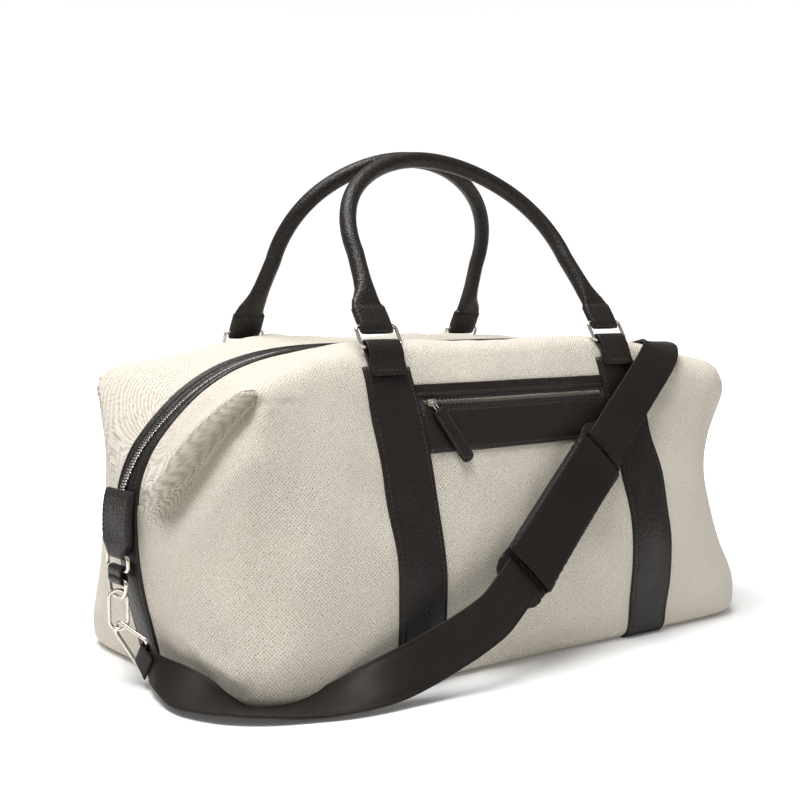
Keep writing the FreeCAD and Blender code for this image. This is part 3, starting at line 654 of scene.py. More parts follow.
def upright_strap(side_name, side, end_name, end):
    """Leather strip up the face, stitched along both edges, with its top folded round the ring."""
    top = STRAP_TOPS[side_name]
    reliefs = [(place, -0.55, 0.9) for place in (-STITCH_LINE, STITCH_LINE)]
    reliefs += [(place, 0.35, 1.6) for place in (-STRAP_WIDTH / 2 + 1.6, STRAP_WIDTH / 2 - 1.6)]
    offsets, heights = strip_profile(-STRAP_WIDTH / 2, STRAP_WIDTH / 2, STRAP_THICKNESS, reliefs)
    levels = np.concatenate([np.linspace(0.9, 12, 8), np.linspace(15, top, 78)])
    starts, ways = face_rays(end * STRAP_X + offsets[None, :], side, levels[:, None])
    solid, grid, normals = laid_strip(starts, ways, heights)
    name = f"strap_{side_name}_{end_name}"
    rows = []
    for line in (-STITCH_LINE, STITCH_LINE):
        points, outs = on_grid(grid[2:], normals[2:], offsets, line, STRAP_THICKNESS - 0.35)
        rows.append(stitches(points, outs))
    loop, hem = ring_fold(end * STRAP_X, side, FOLDS[side_name])
    piece(f"{name}_leather", joined([solid, loop]), "leather", stands_for=[name])
    piece(f"{name}_stitches", joined(rows + [hem]), "thread")


def ring_fold(x, side, at):
    """Strip folded round the ring's lower bar, both ends sewn on the strap below."""
    lean = math.radians(at["fold"])
    bar = np.array([x, side * at["y"], at["z"]])
    down = np.array([0, side * math.sin(lean), -math.cos(lean)])
    out = np.array([0, side * math.cos(lean), math.sin(lean)])

    def strap_top(reach):
        spot = drape((bar + down * reach + out * 60)[None], -out[None])[0]
        return float((spot - bar) @ out) + STRAP_THICKNESS

    def leg(reaches, first, layer):
        line = []
        for reach in reaches:
            rest = strap_top(reach) + layer
            share = float(ease(reach, 4, 15))
            line.append(bar + down * reach + out * max(first * (1 - share) + rest * share, rest))
        return line

    reaches = [25, 24, 21, 17, 13, 10, 7, 4, 1.5]
    front = leg(reaches, BAR_CLEARANCE, 3.0)
    back = leg([max(1.5, reach - 1) for reach in reaches], -BAR_CLEARANCE, 1.0)
    turn = np.radians(np.linspace(0, 180, 11))
    bend = [bar - down * FOLD_SLACK * math.sin(t) + out * BAR_CLEARANCE * math.cos(t) for t in turn]
    line = np.array(front + bend + back[::-1])
    ahead = ways_along(line)
    outs = np.cross(ahead, [1, 0, 0])
    if outs[0] @ out < 0:
        outs = -outs
    from_bar = np.concatenate([reaches, np.zeros(len(turn)), reaches[::-1]])
    loop = ribbon(line, outs, LOOP_WIDTH + ease(from_bar, 4, 16), 1.9)
    across = line[2] + outs[2] * 0.9 + np.linspace(-14.5, 14.5, 9)[:, None] * np.array([1, 0, 0])
    return loop, stitches(across, np.repeat(outs[2:3], 9, 0))


# ---------------------------------------------------------------- handles
HANDLE_RISE, LEG_FOOT, LEG_TOP, LEG_SPREAD = 177.0, 34.0, 72.0, 121.0
SHOULDER_TURN = math.radians(50)
ROLL_RADIUS = 7.2
SEAM_TURN, SEAM_LIFT = 4.45, 0.055   # where the seam runs round the roll, how far it stands out

# Along a leg from the ring's bar: distance, half width, half thickness, how square the section is.
LEG_SHAPE = [(-7.0, 15.0, 0.5, 4.0), (-6.4, 15.4, 2.2, 4.0), (-4.6, 15.8, 3.4, 4.0), (0.0, 16.0, 3.9, 4.0),
             (6.0, 16.0, 4.0, 4.5), (14.0, 15.8, 4.0, 4.5), (17.0, 15.7, 4.0, 4.5), (17.8, 14.9, 3.3, 4.0),
             (19.0, 14.7, 3.6, 3.6), (24.0, 12.4, 4.6, 3.0), (30.0, 10.2, 5.9, 2.6), (37.0, 8.4, 6.8, 2.3),
             (46.0, 7.5, 7.3, 2.0), (60.0, ROLL_RADIUS, ROLL_RADIUS, 2.0)]


def handle_line():
    """Centre line in the handle's own plane, (x, height above the ring's bar)."""
    rise = HANDLE_RISE - LEG_TOP
    k = (1 - math.sin(SHOULDER_TURN)) / math.cos(SHOULDER_TURN)
    corner = (rise - LEG_SPREAD * k) / (1 - k)
    reach = (LEG_SPREAD - corner) / math.cos(SHOULDER_TURN)
    crown = corner + reach
    turn = np.linspace(0, SHOULDER_TURN, 22)[1:]
    left = [(-STRAP_X, h) for h in (-7.0, -6.4, -4.6, 0.0, 3.0, 6.0, 10.0, 14.0, 17.0, 17.8, 19.0)]
    left += [(np.interp(h, [19, LEG_FOOT, LEG_TOP], [-STRAP_X, 4 - STRAP_X, -LEG_SPREAD]), h)
             for h in np.linspace(22, LEG_TOP, 18)]
    left += [(-LEG_SPREAD + corner - corner * math.cos(t), LEG_TOP + corner * math.sin(t)) for t in turn]
    base = LEG_TOP - reach * math.sin(SHOULDER_TURN)
    sweep = np.linspace(math.pi - SHOULDER_TURN, math.pi / 2, 26)[1:]
    left += [(crown * math.cos(t), base + crown * math.sin(t)) for t in sweep]
    return np.array(left + [(-x, h) for x, h in left[-2::-1]])


def leaned(points, side, at):
    """From the handle's plane (x, thickness, height) to where the leaning handle stands."""
    ring_lean, lean = math.radians(at["ring_lean"]), math.radians(at["lean"])
    bar_y = at["y"] - RING_HEIGHT * math.sin(ring_lean)
    bar_z = at["z"] + RING_HEIGHT * math.cos(ring_lean)
    x, thick, height = np.moveaxis(np.asarray(points, float), -1, 0)
    y = bar_y + thick * math.cos(lean) - height * math.sin(lean)
    z = bar_z + thick * math.sin(lean) + height * math.cos(lean)
    return np.stack([x, side * y, z], -1)


def handle(side_name, side):
    at = FOLDS[side_name]
    line = handle_line()
    points = np.stack([line[:, 0], np.zeros(len(line)), line[:, 1]], 1)
    ahead = ways_along(points)
    along = distances_along(points)
    from_end = np.minimum(along, along[-1] - along) - 7.0
    shape = np.array(LEG_SHAPE)
    wide, thick, power = [np.interp(from_end, shape[:, 0], shape[:, k]) for k in (1, 2, 3)]
    flat_end = np.abs(points[:, 0]) >= STRAP_X - 0.01
    ahead[flat_end] = np.where(points[flat_end, :1] < 0, [0, 0, 1.0], [0, 0, -1.0])
    front = np.tile([0, 1.0, 0], (len(points), 1))
    across = np.cross(front, ahead)
    verts, faces = loft(points, across, front, wide, thick, power, 40, seam=(SEAM_TURN, SEAM_LIFT))
    piece(f"handle_{side_name}_leather", (leaned(verts, side, at), faces), "leather",
          body=f"handle_{side_name}", stands_for=[f"handle_{side_name}"])
    inner = from_end > 52
    seam_turn = SEAM_TURN + 0.42
    outs = math.cos(seam_turn) * across[inner] + math.sin(seam_turn) * front[inner]
    seam = points[inner] + ROLL_RADIUS * 0.985 * outs
    rows = [stitches(seam, outs, 4.4)]
    for centre in (-STRAP_X, STRAP_X):
        for face in (-1, 1):
            hem = [(centre + reach, face * 3.85, 14.6) for reach in np.linspace(-12.5, 12.5, 8)]
            rows.append(stitches(hem, [(0, face, 0)] * 8))
    verts, faces = joined(rows)
    piece(f"handle_{side_name}_stitches", (leaned(verts, side, at), faces), "thread",
          body=f"handle_{side_name}")


# ---------------------------------------------------------------- zip along the top
TOOTH_PITCH = 2.4


def zip_line():
    """The seam over the bag from end to end, and its outward normals in the X-Z plane."""
    points = HALVES["front"][0][:, -1]
    line, _ = resample(points, 4.0)
    ahead = ways_along(line)
    return line, facing_up(ahead)


def beside_zip(line, outs, side, low, high, thickness, reliefs=()):
    """Strip laid on the canvas along the zip; returns it with its grid, normals and offsets."""
    offsets, heights = strip_profile(low, high, thickness, reliefs)
    starts = line[:, None] + outs[:, None] * 60 + offsets[None, :, None] * np.array([0, side, 0])
    ways = np.broadcast_to(-outs[:, None], starts.shape)
    return (*laid_strip(starts, ways, heights), offsets)


def main_zip():
    line, outs = zip_line()
    for name, side in SIDES:
        reliefs = [(7.2, 0.5, 1.5), (14.9, 0.9, 1.6), (11.2, -0.7, 1.2)]
        solid, grid, normals, offsets = beside_zip(line, outs, side, 4.9, 17.0, 2.0, reliefs)
        piece(f"zip_binding_{name}_leather", solid, "leather", stands_for=[f"zip_binding_{name}"])
        row, row_outs = on_grid(grid, normals, offsets, 11.2, 1.5)
        piece(f"zip_binding_{name}_stitches", stitches(row, row_outs), "thread")
        tape, *_ = beside_zip(line, outs, side, 0.2, 5.2, 0.5)
        piece(f"zip_tape_{name}_cloth", tape, "zip_tape", stands_for=[f"zip_tape_{name}"])
    spots, _ = resample(line, TOOTH_PITCH)
    ways = ways_along(spots)
    ups = facing_up(ways)
    piece("zip_teeth_row", teeth(spots + ups * 1.8, ways, ups, 6.6, 1.45, 1.4), "zip_metal",
          stands_for=["zip_teeth"])


def teeth(spots, ways, ups, width, length, height):
    """A bevelled block across the zip for each meshed pair of teeth, set alternately aside."""
    solids = []
    for k, (spot, way, up) in enumerate(zip(spots, ways, ups)):
        side = np.cross(way, up)
        spot = spot + side * (0.35 if k % 2 else -0.35)
        rings = []
        for level, size in ((-0.4, 1.0), (0.7 * height, 1.0), (height, 0.6)):
            half_w, half_l = width / 2 - (1 - size), length / 2 * size
            rings.append([spot + up * level + side * a * half_w + way * b * half_l
                          for a, b in ((-1, -1), (1, -1), (1, 1), (-1, 1))])
        solids.append(tube(rings))
    return joined(solids)


# ---------------------------------------------------------------- front pocket
POCKET_HALF, POCKET_ZIP_Z = 106.6, 219.2
POCKET_BANDS = {"pocket_upper_band": (224.0, 234.0), "pocket_lower_band": (180.0, 214.5)}


def level_rays(xs, zs):
    """Level rays onto the front, rows along X and columns up."""
    starts = np.stack(np.broadcast_arrays(xs[:, None], -300.0, zs[None, :]), -1).astype(float)
    return starts, np.broadcast_to(np.array([0.0, 1.0, 0.0]), starts.shape)


def pocket():
    xs = np.linspace(-POCKET_HALF, POCKET_HALF, 72)
    for name, (low, high) in POCKET_BANDS.items():
        lines = [low + 2.6, high - 2.6] if high - low > 15 else [low + 2.4]
        reliefs = [(line, -0.5, 0.9) for line in lines]
        reliefs += [(edge, 0.3, 1.5) for edge in (low + 1.3, high - 1.3)]
        offsets, heights = strip_profile(low, high, 2.2, reliefs)
        solid, grid, normals = laid_strip(*level_rays(xs, offsets), heights)
        piece(f"{name}_leather", solid, "leather", stands_for=[name])
        rows = [stitches(*on_grid(grid, normals, offsets, line, 1.85)) for line in lines]
        piece(f"{name}_stitches", joined(rows), "thread")
    offsets, heights = strip_profile(213.5, 225.0, 0.7)
    solid, _, _ = laid_strip(*level_rays(xs, offsets), heights)
    piece("pocket_zip_tape_cloth", solid, "zip_tape", stands_for=["pocket_zip_tape"])
    xs = np.linspace(6 - POCKET_HALF, POCKET_HALF - 6, 102)
    _, _, normals = laid_strip(*level_rays(xs, POCKET_ZIP_Z + np.array([-1.0, 0.0, 1.0])), np.zeros(3))
    grid = drape(*level_rays(xs, np.array([POCKET_ZIP_Z])))
    spots = grid[:, 0] + normals[:, 1] * 0.9
    ways = ways_along(spots)
    piece("pocket_zip_teeth_row", teeth(spots, ways, normals[:, 1], 3.4, 1.3, 0.9), "dull_zip_metal",
          stands_for=["pocket_zip_teeth"])


# ---------------------------------------------------------------- zip pulls
EYE_HEIGHT = 1.85
POCKET_SLIDER = (-95, -121.8, POCKET_ZIP_Z)
POCKET_TILT, POCKET_PULL_TURN = math.radians(69), math.radians(-65)   # off upright, off level


def placed(matrix, points):
    matrix = np.array(matrix)
    return np.asarray(points) @ matrix[:3, :3].T + matrix[:3, 3]


def zip_pull(name, matrix, length, width, thickness):
    """Folded leather tab, stitched round its edge, on two wire arms from the slider's eye."""
    reach = [7.2, 7.8, 9, 12, 18, length - 9, length - 4, length - 1.6, length - 0.4, length]
    share = [0.5, 0.8, 0.9, 0.94, 0.97, 1.0, 0.98, 0.84, 0.55, 0.28]
    full = [0.5, 0.85, 1.0, 1.0, 0.95, 0.95, 1.0, 0.95, 0.7, 0.4]
    line = np.array([(x, 0, thickness / 2) for x in reach])
    across, outs = np.tile([0, 1.0, 0], (10, 1)), np.tile([0, 0, 1.0], (10, 1))
    verts, faces = loft(line, across, outs, np.array(share) * width / 2, np.array(full) * thickness / 2,
                        [5.0] * 10, 28)
    piece(f"{name}_leather", (placed(matrix, verts), faces), "leather", body=name, stands_for=[name])
    inset = width / 2 - 1.8
    rim = [(10, -inset, thickness), (length - 5, -inset, thickness), (length - 2.6, 0, thickness),
           (length - 5, inset, thickness), (10, inset, thickness)]
    verts, faces = stitches(np.array(rim) - [0, 0, 0.1], [(0, 0, 1)] * 5, 3.0)
    piece(f"{name}_stitches", (placed(matrix, verts), faces), "thread", body=name)
    turn = circle(10)
    wire = [(9, -1.6, 0.5), (1, -1.6, 0), (0.2, -1.4, 0), (0, -0.9, 0),
            (0, 0.9, 0), (0.2, 1.4, 0), (1, 1.6, 0), (9, 1.6, 0.5)]
    ahead = ways_along(wire)
    rings = [spot + 0.5 * (np.cos(turn)[:, None] * np.array([0, 0, 1.0])
                           + np.sin(turn)[:, None] * np.cross(way, [0, 0, 1.0]))
             for spot, way in zip(np.array(wire), ahead)]
    verts, faces = tube(rings)
    piece(f"{name}_wire", (placed(matrix, verts), faces), "metal", body=name)


def zip_pulls():
    for name, end in ENDS:
        turn = Matrix.Rotation(0 if end > 0 else math.pi, 4, "Z")
        place = Matrix.Translation((end * 13.0, 0, 260.3 + EYE_HEIGHT)) @ turn
        zip_pull(f"zip_pull_{name}", place, 46, 11, 1.6)
    place = (Matrix.Translation(POCKET_SLIDER) @ Matrix.Rotation(POCKET_TILT, 4, "X")
             @ Matrix.Translation((0, 0, EYE_HEIGHT)) @ Matrix.Rotation(POCKET_PULL_TURN, 4, "Z"))
    zip_pull("pocket_zip_pull", place, 56, 13.5, 2.0)


# ---------------------------------------------------------------- ends of the zip
CHAIN_X = 313.0
LINK_TOP_Z, LINK_BASE_Z = 91.5, 83.5

# Down the tab from its top edge: distance out from the middle, height, half width, half thickness.
TAB_SHAPE = [(309.6, 154.2, 21.0, 0.5), (310.0, 153.4, 21.8, 1.6), (310.7, 151.5, 22.2, 2.2),
             (311.7, 147.0, 22.4, 2.4), (312.6, 141.0, 22.5, 2.5), (313.2, 134.0, 22.4, 2.6),
             (313.4, 128.0, 22.2, 2.6), (313.4, 122.0, 22.0, 2.7), (313.4, 117.0, 21.8, 2.8),
             (313.4, 114.0, 21.4, 3.2), (313.3, 111.5, 19.0, 3.7), (313.1, 108.0, 15.5, 3.9),
             (313.0, 104.0, 13.0, 3.9), (313.0, 101.5, 12.8, 3.2), (313.0, 100.2, 12.4, 0.8)]


def end_leather(name, end):
    offsets, heights = strip_profile(-15.0, 15.0, 2.4, [(-12.2, -0.5, 0.9), (12.2, -0.5, 0.9)])
    levels = np.concatenate([np.linspace(0.9, 12, 8), np.linspace(16, 146, 40)])
    starts = np.stack(np.broadcast_arrays(end * 420.0, offsets[None, :], levels[:, None]), -1).astype(float)
    ways = np.broadcast_to(np.array([-end, 0.0, 0.0]), starts.shape)
    solid, grid, normals = laid_strip(starts, ways, heights)
    piece(f"end_strip_{name}_leather", solid, "leather", stands_for=[f"end_strip_{name}"])
    rows = [stitches(*on_grid(grid[2:], normals[2:], offsets, line, 2.05)) for line in (-12.2, 12.2)]
    shape = np.array(TAB_SHAPE)
    line = np.stack([shape[:, 0], np.zeros(len(shape)), shape[:, 1]], 1)
    ahead = ways_along(line)
    outs = facing_up(ahead)
    across = np.tile([0, 1.0, 0], (len(line), 1))
    verts, faces = loft(line, across, outs, shape[:, 2], shape[:, 3], [6.0] * len(line), 40)
    turn = np.array([end, end, 1])
    piece(f"end_tab_{name}_leather", (verts * turn, faces), "leather", stands_for=[f"end_tab_{name}"])

    def on_tab(y, k):
        return line[k] + outs[k] * (shape[k, 3] + 0.02) + np.array([0, y, 0])

    def row_across(k, half):
        return stitches([on_tab(y, k) for y in np.linspace(-half, half, 10)], [outs[k]] * 10)

    tab_rows = [row_across(2, 18.5), row_across(8, 18.5)]
    for edge in (-19.3, 19.3):
        tab_rows.append(stitches([on_tab(edge, k) for k in range(2, 9)], [outs[k] for k in range(2, 9)]))
    verts, faces = joined(tab_rows)
    rows.append((verts * turn, faces))
    piece(f"end_{name}_stitches", joined(rows), "thread")
    leather_link(name, end)


def leather_link(name, end):
    """Narrow band folded round the upper ring's lower bar and the lower ring's upper bar."""
    turn = np.radians(np.linspace(0, 180, 9))
    upper = [(math.cos(t) * BAR_CLEARANCE, 0, LINK_TOP_Z + math.sin(t) * BAR_CLEARANCE) for t in turn]
    lower = [(-math.cos(t) * BAR_CLEARANCE, 0, LINK_BASE_Z - math.sin(t) * BAR_CLEARANCE) for t in turn]
    middle = (LINK_TOP_Z + LINK_BASE_Z) / 2
    line = np.array([(BAR_CLEARANCE, 0, middle)] + upper + lower + [(BAR_CLEARANCE, 0, middle - 0.3)])
    outs = unit(line - [0, 0, middle] - [0, 0, 1] * np.clip(line[:, 2:] - middle, -4, 4))
    line[:, 0] += CHAIN_X
    verts, faces = ribbon(line, outs, 21.0, 1.8)
    piece(f"link_loop_{name}_leather", (verts * np.array([end, end, 1]), faces), "leather",
          body=f"link_loop_{name}", stands_for=[f"link_loop_{name}"])


# ---------------------------------------------------------------- shoulder strap
# The CAD strap's route in metres, moved to lie as the strap really does, with one more
# point near each end of its long straight run. Each point has the way the flat side faces there.
ROUTE = [((-0.303, -0.0316, 0.0183), (-1, 0, 0)),
         ((-0.3045, -0.057, 0.0185), (-0.8, -0.2, 0.6)),
         ((-0.3035, -0.088, 0.0135), (-0.5, -0.1, 0.9)),
         ((-0.297, -0.113, 0.0085), (-0.1, 0.0, 1)),
         ((-0.286, -0.134, 0.0055), (0.08, 0.10, 1)),
         ((-0.268, -0.149, 0.005), (0.06, 0.08, 1)),
         ((-0.245, -0.159, 0.0055), (0, -0.10, 1)),
         ((-0.215, -0.172, 0.012), (0, -0.45, 1)),
         ((-0.172, -0.181, 0.023), (0, -0.95, 0.7)),
         ((-0.134, -0.184, 0.035), (0, -1, 0.45)),
         ((-0.103, -0.190, 0.049), (0, -1, 0.35)),
         ((-0.071, -0.187, 0.0625), (0, -1, 0.35)),
         ((0.112, -0.137, 0.197), (0, -1, 0.42)),
         ((0.158, -0.1265, 0.233), (0, -1, 0.42)),
         ((0.187, -0.116, 0.252), (0, -1, 0.6)),
         ((0.203, -0.099, 0.2605), (0, -0.3, 1)),
         ((0.211, -0.080, 0.260), (0, 0, 1)),
         ((0.215, -0.056, 0.258), (0, 0, 1)),
         ((0.2185, -0.015, 0.253), (0, 0, 1)),
         ((0.221, 0.030, 0.2545), (0, 0, 1)),
         ((0.223, 0.074, 0.2575), (0, 0, 1)),
         ((0.226, 0.109, 0.2565), (0, 0.6, 1)),
         ((0.231, 0.136, 0.238), (0, 1, 0.3)),
         ((0.238, 0.157, 0.196), (0, 1, 0.3)),
         ((0.248, 0.171, 0.146), (0.15, 1, 0.2)),
         ((0.262, 0.181, 0.098), (0.3, 1, 0)),
         ((0.282, 0.178, 0.056), (0.6, 1, 0)),
         ((0.303, 0.148, 0.028), (1, 0.6, 0.4)),
         ((0.312, 0.106, 0.016), (0.8, 0, 1)),
         ((0.308, 0.064, 0.018), (0.55, 0, 0.85)),
         ((0.303, 0.0316, 0.0183), (1, 0, 0))]
SHOULDER_WIDTH, SHOULDER_THICK = 38.0, 2.6


def strap_line():
    """Points and facing along the strap's smooth line, in millimetres."""
    curve = bpy.data.curves.new("strap_line", "CURVE")
    curve.dimensions = "3D"
    curve.resolution_u = 10
    spline = curve.splines.new("NURBS")
    spline.points.add(len(ROUTE) - 1)
    for control, (spot, _) in zip(spline.points, ROUTE):
        control.co = (*spot, 1)
    spline.order_u = 3
    spline.use_endpoint_u = True
    holder = bpy.data.objects.new("strap_line", curve)
    mesh = bpy.data.meshes.new_from_object(holder)
    line = np.array([vertex.co for vertex in mesh.vertices])
    bpy.data.objects.remove(holder)
    bpy.data.curves.remove(curve)
    bpy.data.meshes.remove(mesh)
    last = len(ROUTE) - 2
    reached = np.linspace(0, last, len(line))
    known = np.concatenate([[0], np.arange(last) + 0.5, [last]])
    facing = unit([way for _, way in ROUTE])
    outs = unit(np.stack([np.interp(reached, known, facing[:, k]) for k in range(3)], 1))
    return line, outs


# The straight run that the pad sits on: its two ends and the way it faces at each, and how far
# along it the pad's middle is.
PAD_SHARE = 0.418
PAD_RUN = [((-108, -197, 35), (0, -1, 0.35)), ((186, -119, 254), (0, -1, 0.42))]


def pad_frame():
    """Middle of the shoulder pad, and its directions along, across and out from the bag."""
    (first, out_first), (last, out_last) = [(np.array(spot, float), unit(out)) for spot, out in PAD_RUN]
    along = unit(last - first)
    out = unit(out_first * (1 - PAD_SHARE) + out_last * PAD_SHARE)
    across = unit(np.cross(out, along))
    return first + (last - first) * PAD_SHARE, along, across, np.cross(along, across)


PAD_LENGTH, PAD_WIDTH = 200.0, 55.0
SLIT = 72.0              # from the pad's middle to where the strap goes in under its front


def pad_blank():
    """The sewn sleeve before it fills out: a padded back with a front panel between the slits."""
    xs = np.concatenate([np.linspace(-PAD_LENGTH / 2 + 1, -SLIT - 0.4, 9),
                         np.linspace(-SLIT + 0.4, SLIT - 0.4, 40),
                         np.linspace(SLIT + 0.4, PAD_LENGTH / 2 - 1, 9)])
    ys = np.linspace(-1, 1, 15)
    corner = 20.0
    rings = []
    for x in xs:
        beyond = max(0.0, abs(x) - (PAD_LENGTH / 2 - corner))
        half = PAD_WIDTH / 2 - 1.0 - (corner - math.sqrt(max(0.0, corner ** 2 - beyond ** 2)))
        top = 3.6 if abs(x) < SLIT else -1.9
        low = -4.6 if abs(x) < SLIT else -5.6
        upper = [(x, half * y, top - 0.8 * y * y) for y in ys]
        lower = [(x, half * y, low + 0.8 * y * y) for y in ys[::-1]]
        rings.append(upper + lower)
    return tube(rings)


PAD_VOXEL, PAD_PRESSURE = 1.8, 4.0
PAD_SWELL = 1.6          # the furthest that the pad's cloth moves when it fills out


def filled_out(made):
    """Let the cloth swell under pressure, no further than PAD_SWELL."""
    remesh = made.modifiers.new("remesh", "REMESH")
    remesh.mode = "VOXEL"
    remesh.voxel_size = PAD_VOXEL * MM
    apply_modifiers(made)
    before = np.array([vertex.co for vertex in made.data.vertices])
    cloth_sim = made.modifiers.new("cloth", "CLOTH")
    cloth_sim.settings.use_pressure = True
    cloth_sim.settings.uniform_pressure_force = PAD_PRESSURE
    cloth_sim.settings.effector_weights.gravity = 0
    scene = bpy.context.scene
    for step in range(1, 21):
        scene.frame_set(step)
    apply_modifiers(made)
    scene.frame_set(1)
    after = np.array([vertex.co for vertex in made.data.vertices])
    move = after - before
    far = np.linalg.norm(move, axis=1, keepdims=True)
    after = before + move * np.minimum(1, PAD_SWELL * MM / np.maximum(far, 1e-9))
    made.data.vertices.foreach_set("co", after.ravel())
    made.data.update()


def apply_modifiers(made):
    evaluated = made.evaluated_get(bpy.context.evaluated_depsgraph_get())
    mesh = bpy.data.meshes.new_from_object(evaluated)
    made.modifiers.clear()
    old = made.data
    made.data = mesh
    bpy.data.meshes.remove(old)


def shoulder_pad():
    middle, along, across, out = pad_frame()
    turn = np.stack([along, across, out])
    points, faces = pad_blank()
    pad = piece("shoulder_pad_leather", (points @ turn + middle, faces), "pad_leather",
                body="shoulder_pad", stands_for=["shoulder_pad"])
    filled_out(pad)
    pad.data.polygons.foreach_set("use_smooth", [True] * len(pad.data.polygons))
    smooth = pad.modifiers.new("smooth", "SUBSURF")
    smooth.levels = smooth.render_levels = 1
    solids, rows = [], []
    for end in (-1, 1):
        welt = np.array([(end * (SLIT + 0.6), y, 3.4 - 0.0035 * y * y) for y in np.linspace(-23.5, 23.5, 20)])
        solids.append(ribbon(welt, np.tile([0, 0, 1.0], (20, 1)), 3.4, 1.3))
        rows.append(stitches(welt - [end * 3.4, 0, -0.9], [(0, 0, 1)] * 20, 3.6))
    for edge in (-1, 1):
        seam = np.array([(x, edge * 23.6, 3.9) for x in np.linspace(-SLIT + 3, SLIT - 3, 30)])
        rows.append(stitches(seam, [(0, 0, 1)] * 30, 3.8))
    for name, (verts, some_faces), look in (("welts", joined(solids), "pad_leather"),
                                            ("stitches", joined(rows), "thread")):
        piece(f"shoulder_pad_{name}", (verts @ turn + middle, some_faces), look, body="shoulder_pad")
    return pad


STRAP_BAR = np.array([-303.0, -20.0, 27.0])
STRAP_AWAY = np.array([0, -0.8, -0.6])


def end_loop(name, end):
    """Leather folded round the triangular ring's bar and sewn on both faces of the strap."""
    turn = np.radians(np.linspace(0, 180, 9))
    side = np.array([-1.0, 0, 0])
    reaches = [17.0, 14.0, 11.0, 8.0, 5.0, 2.0]
    spread_out = [2.15, 2.15, 2.2, 2.5, 2.8, BAR_CLEARANCE]
    front = [STRAP_BAR + STRAP_AWAY * r + side * s for r, s in zip(reaches, spread_out)]
    bend = [STRAP_BAR - STRAP_AWAY * BAR_CLEARANCE * math.sin(t) + side * BAR_CLEARANCE * math.cos(t)
            for t in turn]
    back = [STRAP_BAR + STRAP_AWAY * r - side * s for r, s in zip(reaches, spread_out)][::-1]
    line = np.array(front + bend + back)
    bar_way = np.array([0, -0.6, 0.8])
    outs = np.cross(ways_along(line), bar_way)
    if outs[0] @ side < 0:
        outs = -outs
    widths = np.interp([*reaches, *[0] * 9, *reaches[::-1]], [0, 4, 17], [19, 20, 23])
    verts, faces = ribbon(line, outs, widths, 1.6)
    flip = np.array([-end, -end, 1])
    return piece(f"strap_end_loop_{name}_leather", (verts * flip, faces), "strap_leather",
                 stands_for=[f"strap_end_loop_{name}"])


def shoulder_strap():
    line, outs = strap_line()
    along = distances_along(line)
    from_end = np.minimum(along, along[-1] - along)
    widths = SHOULDER_WIDTH * (0.64 + 0.36 * ease(from_end, 0.012, 0.075))
    strap = piece("shoulder_strap_leather",
                  ribbon(line / MM, outs, widths, SHOULDER_THICK, 0.25, 3.0), "strap_leather",
                  stands_for=["shoulder_strap"])
    loops = [end_loop(name, end) for name, end in ENDS]
    pad = shoulder_pad()


# ---------------------------------------------------------------- CAD nodes that stay
def dress_cad_nodes():
    """Give each CAD node that still shows a material picked by its name."""
    looks = {"base_board": "board", "pocket_bag": "lining"}
    for name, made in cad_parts.items():
        if made.hide_render:
            continue
        look = "rope" if name.endswith("_core") else looks.get(name, "metal")
        made.data.materials.clear()
        made.data.materials.append(FINISHES[look])


# ---------------------------------------------------------------- camera, lights, floor
def make_camera():
    data = bpy.data.cameras.new("camera")
    data.lens, data.sensor_width = 61.15, 36.0
    data.clip_start, data.clip_end = 0.05, 60
    camera = bpy.data.objects.new("camera", data)
    camera.location = (-0.7873, -0.9660, 0.3068)
    camera.rotation_mode = "QUATERNION"
    camera.rotation_quaternion = Vector((0.6143, 0.7856, -0.0778)).to_track_quat("-Z", "Y")
    bpy.context.scene.collection.objects.link(camera)
    bpy.context.scene.camera = camera


def area_light(name, spot, target, size, power):
    data = bpy.data.lights.new(name, "AREA")
    data.shape, data.size, data.energy = "DISK", size, power
    light = bpy.data.objects.new(name, data)
    light.location = spot
    light.rotation_mode = "QUATERNION"
    light.rotation_quaternion = (Vector(target) - Vector(spot)).to_track_quat("-Z", "Y")
    bpy.context.scene.collection.objects.link(light)


BACKDROP_WAY = (0.616, 0.788, 0.0)       # from the camera towards the white backdrop
BACKDROP_LIGHT, ROOM_LIGHT = 1.06, 0.27


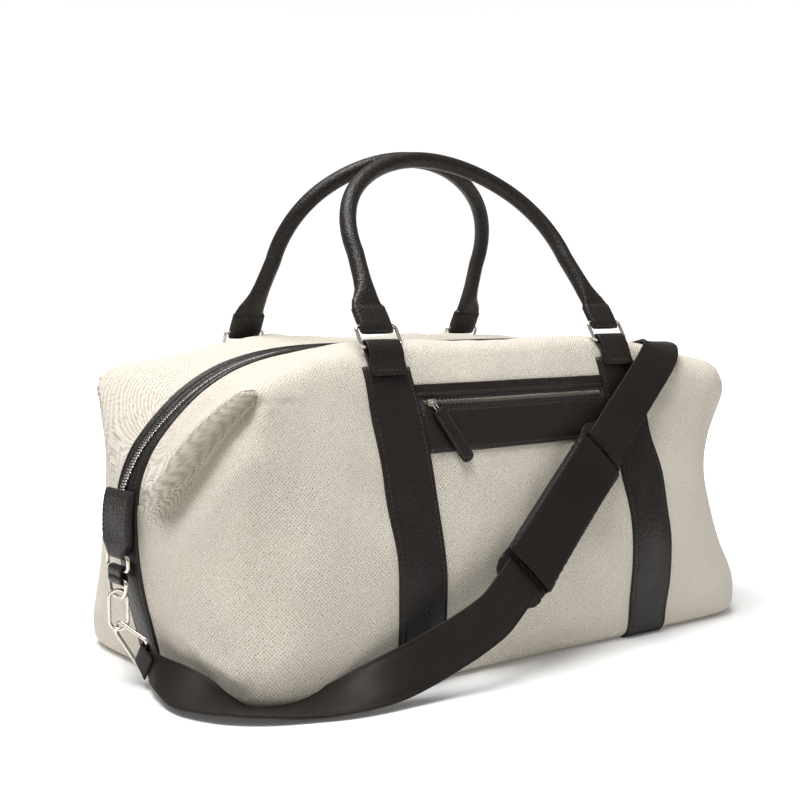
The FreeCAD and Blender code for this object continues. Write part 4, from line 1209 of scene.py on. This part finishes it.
def studio():
    """Flat white floor before a white backdrop in the world, with a soft light overhead."""
    scene = bpy.context.scene
    scene.view_settings.view_transform = "Standard"
    world = bpy.data.worlds.new("studio")
    scene.world = world
    world.use_nodes = True
    tree = world.node_tree
    direction = node(tree, "ShaderNodeTexCoord", output=0)
    parts = tree.nodes.new("ShaderNodeSeparateXYZ")
    tree.links.new(direction, parts.inputs[0])
    behind = node(tree, "ShaderNodeVectorMath", {0: direction, 1: BACKDROP_WAY}, output=1,
                  operation="DOT_PRODUCT")
    level = spread(tree, parts.outputs[2], 0.18, 0.45, 1.0, 0.0)
    backdrop = maths(tree, "MULTIPLY", level, spread(tree, behind, 0.7, 0.9, 0.0, 1.0))
    glow = maths(tree, "MULTIPLY_ADD", backdrop, BACKDROP_LIGHT - ROOM_LIGHT, ROOM_LIGHT)
    tree.links.new(glow, tree.nodes["Background"].inputs["Strength"])
    tree.nodes["Background"].inputs["Color"].default_value = (1.0, 0.995, 0.985, 1)
    area_light("overhead", (-0.5, 0.02, 2.4), (0, 0, 0.1), 1.8, 80)

    material, floor_tree, shader, place = new_material("floor", Roughness=0.9, Specular_IOR_Level=0.1)
    tone = noise(floor_tree, place, 3.0)
    floor_tree.links.new(colour_between(floor_tree, tone, (0.93, 0.93, 0.93), (0.95, 0.95, 0.95)),
                         shader.inputs["Base Color"])
    away = node(floor_tree, "ShaderNodeVectorMath", {0: place, 1: BACKDROP_WAY}, output=1,
                operation="DOT_PRODUCT")
    shader.inputs["Emission Color"].default_value = (1, 1, 1, 1)
    floor_tree.links.new(spread(floor_tree, away, 0.36, 1.2, 0.06, 0.9), shader.inputs["Emission Strength"])
    mesh = bpy.data.meshes.new("floor")
    reach = 14.0
    mesh.from_pydata([(-reach, -reach, 0), (reach, -reach, 0), (reach, reach, 0), (-reach, reach, 0)],
                     [], [(0, 1, 2, 3)])
    mesh.materials.append(material)
    floor = bpy.data.objects.new("floor", mesh)
    scene.collection.objects.link(floor)


# ---------------------------------------------------------------- build
make_camera()
shoulder_strap()
canvas_body()
base_sheet("canvas_base_sheet", 0.0, 0.0, "canvas", CANVAS_THICKNESS, "canvas_base_panel")
base_sheet("lining_base_cloth", 3.0, 6.2, "lining", 0.8, "lining_base")
for side_name, side_sign in SIDES:
    for end_name, end_sign in ENDS:
        upright_strap(side_name, side_sign, end_name, end_sign)
    handle(side_name, side_sign)
main_zip()
pocket()
zip_pulls()
for end_name, end_sign in ENDS:
    end_leather(end_name, end_sign)
dress_cad_nodes()
studio()
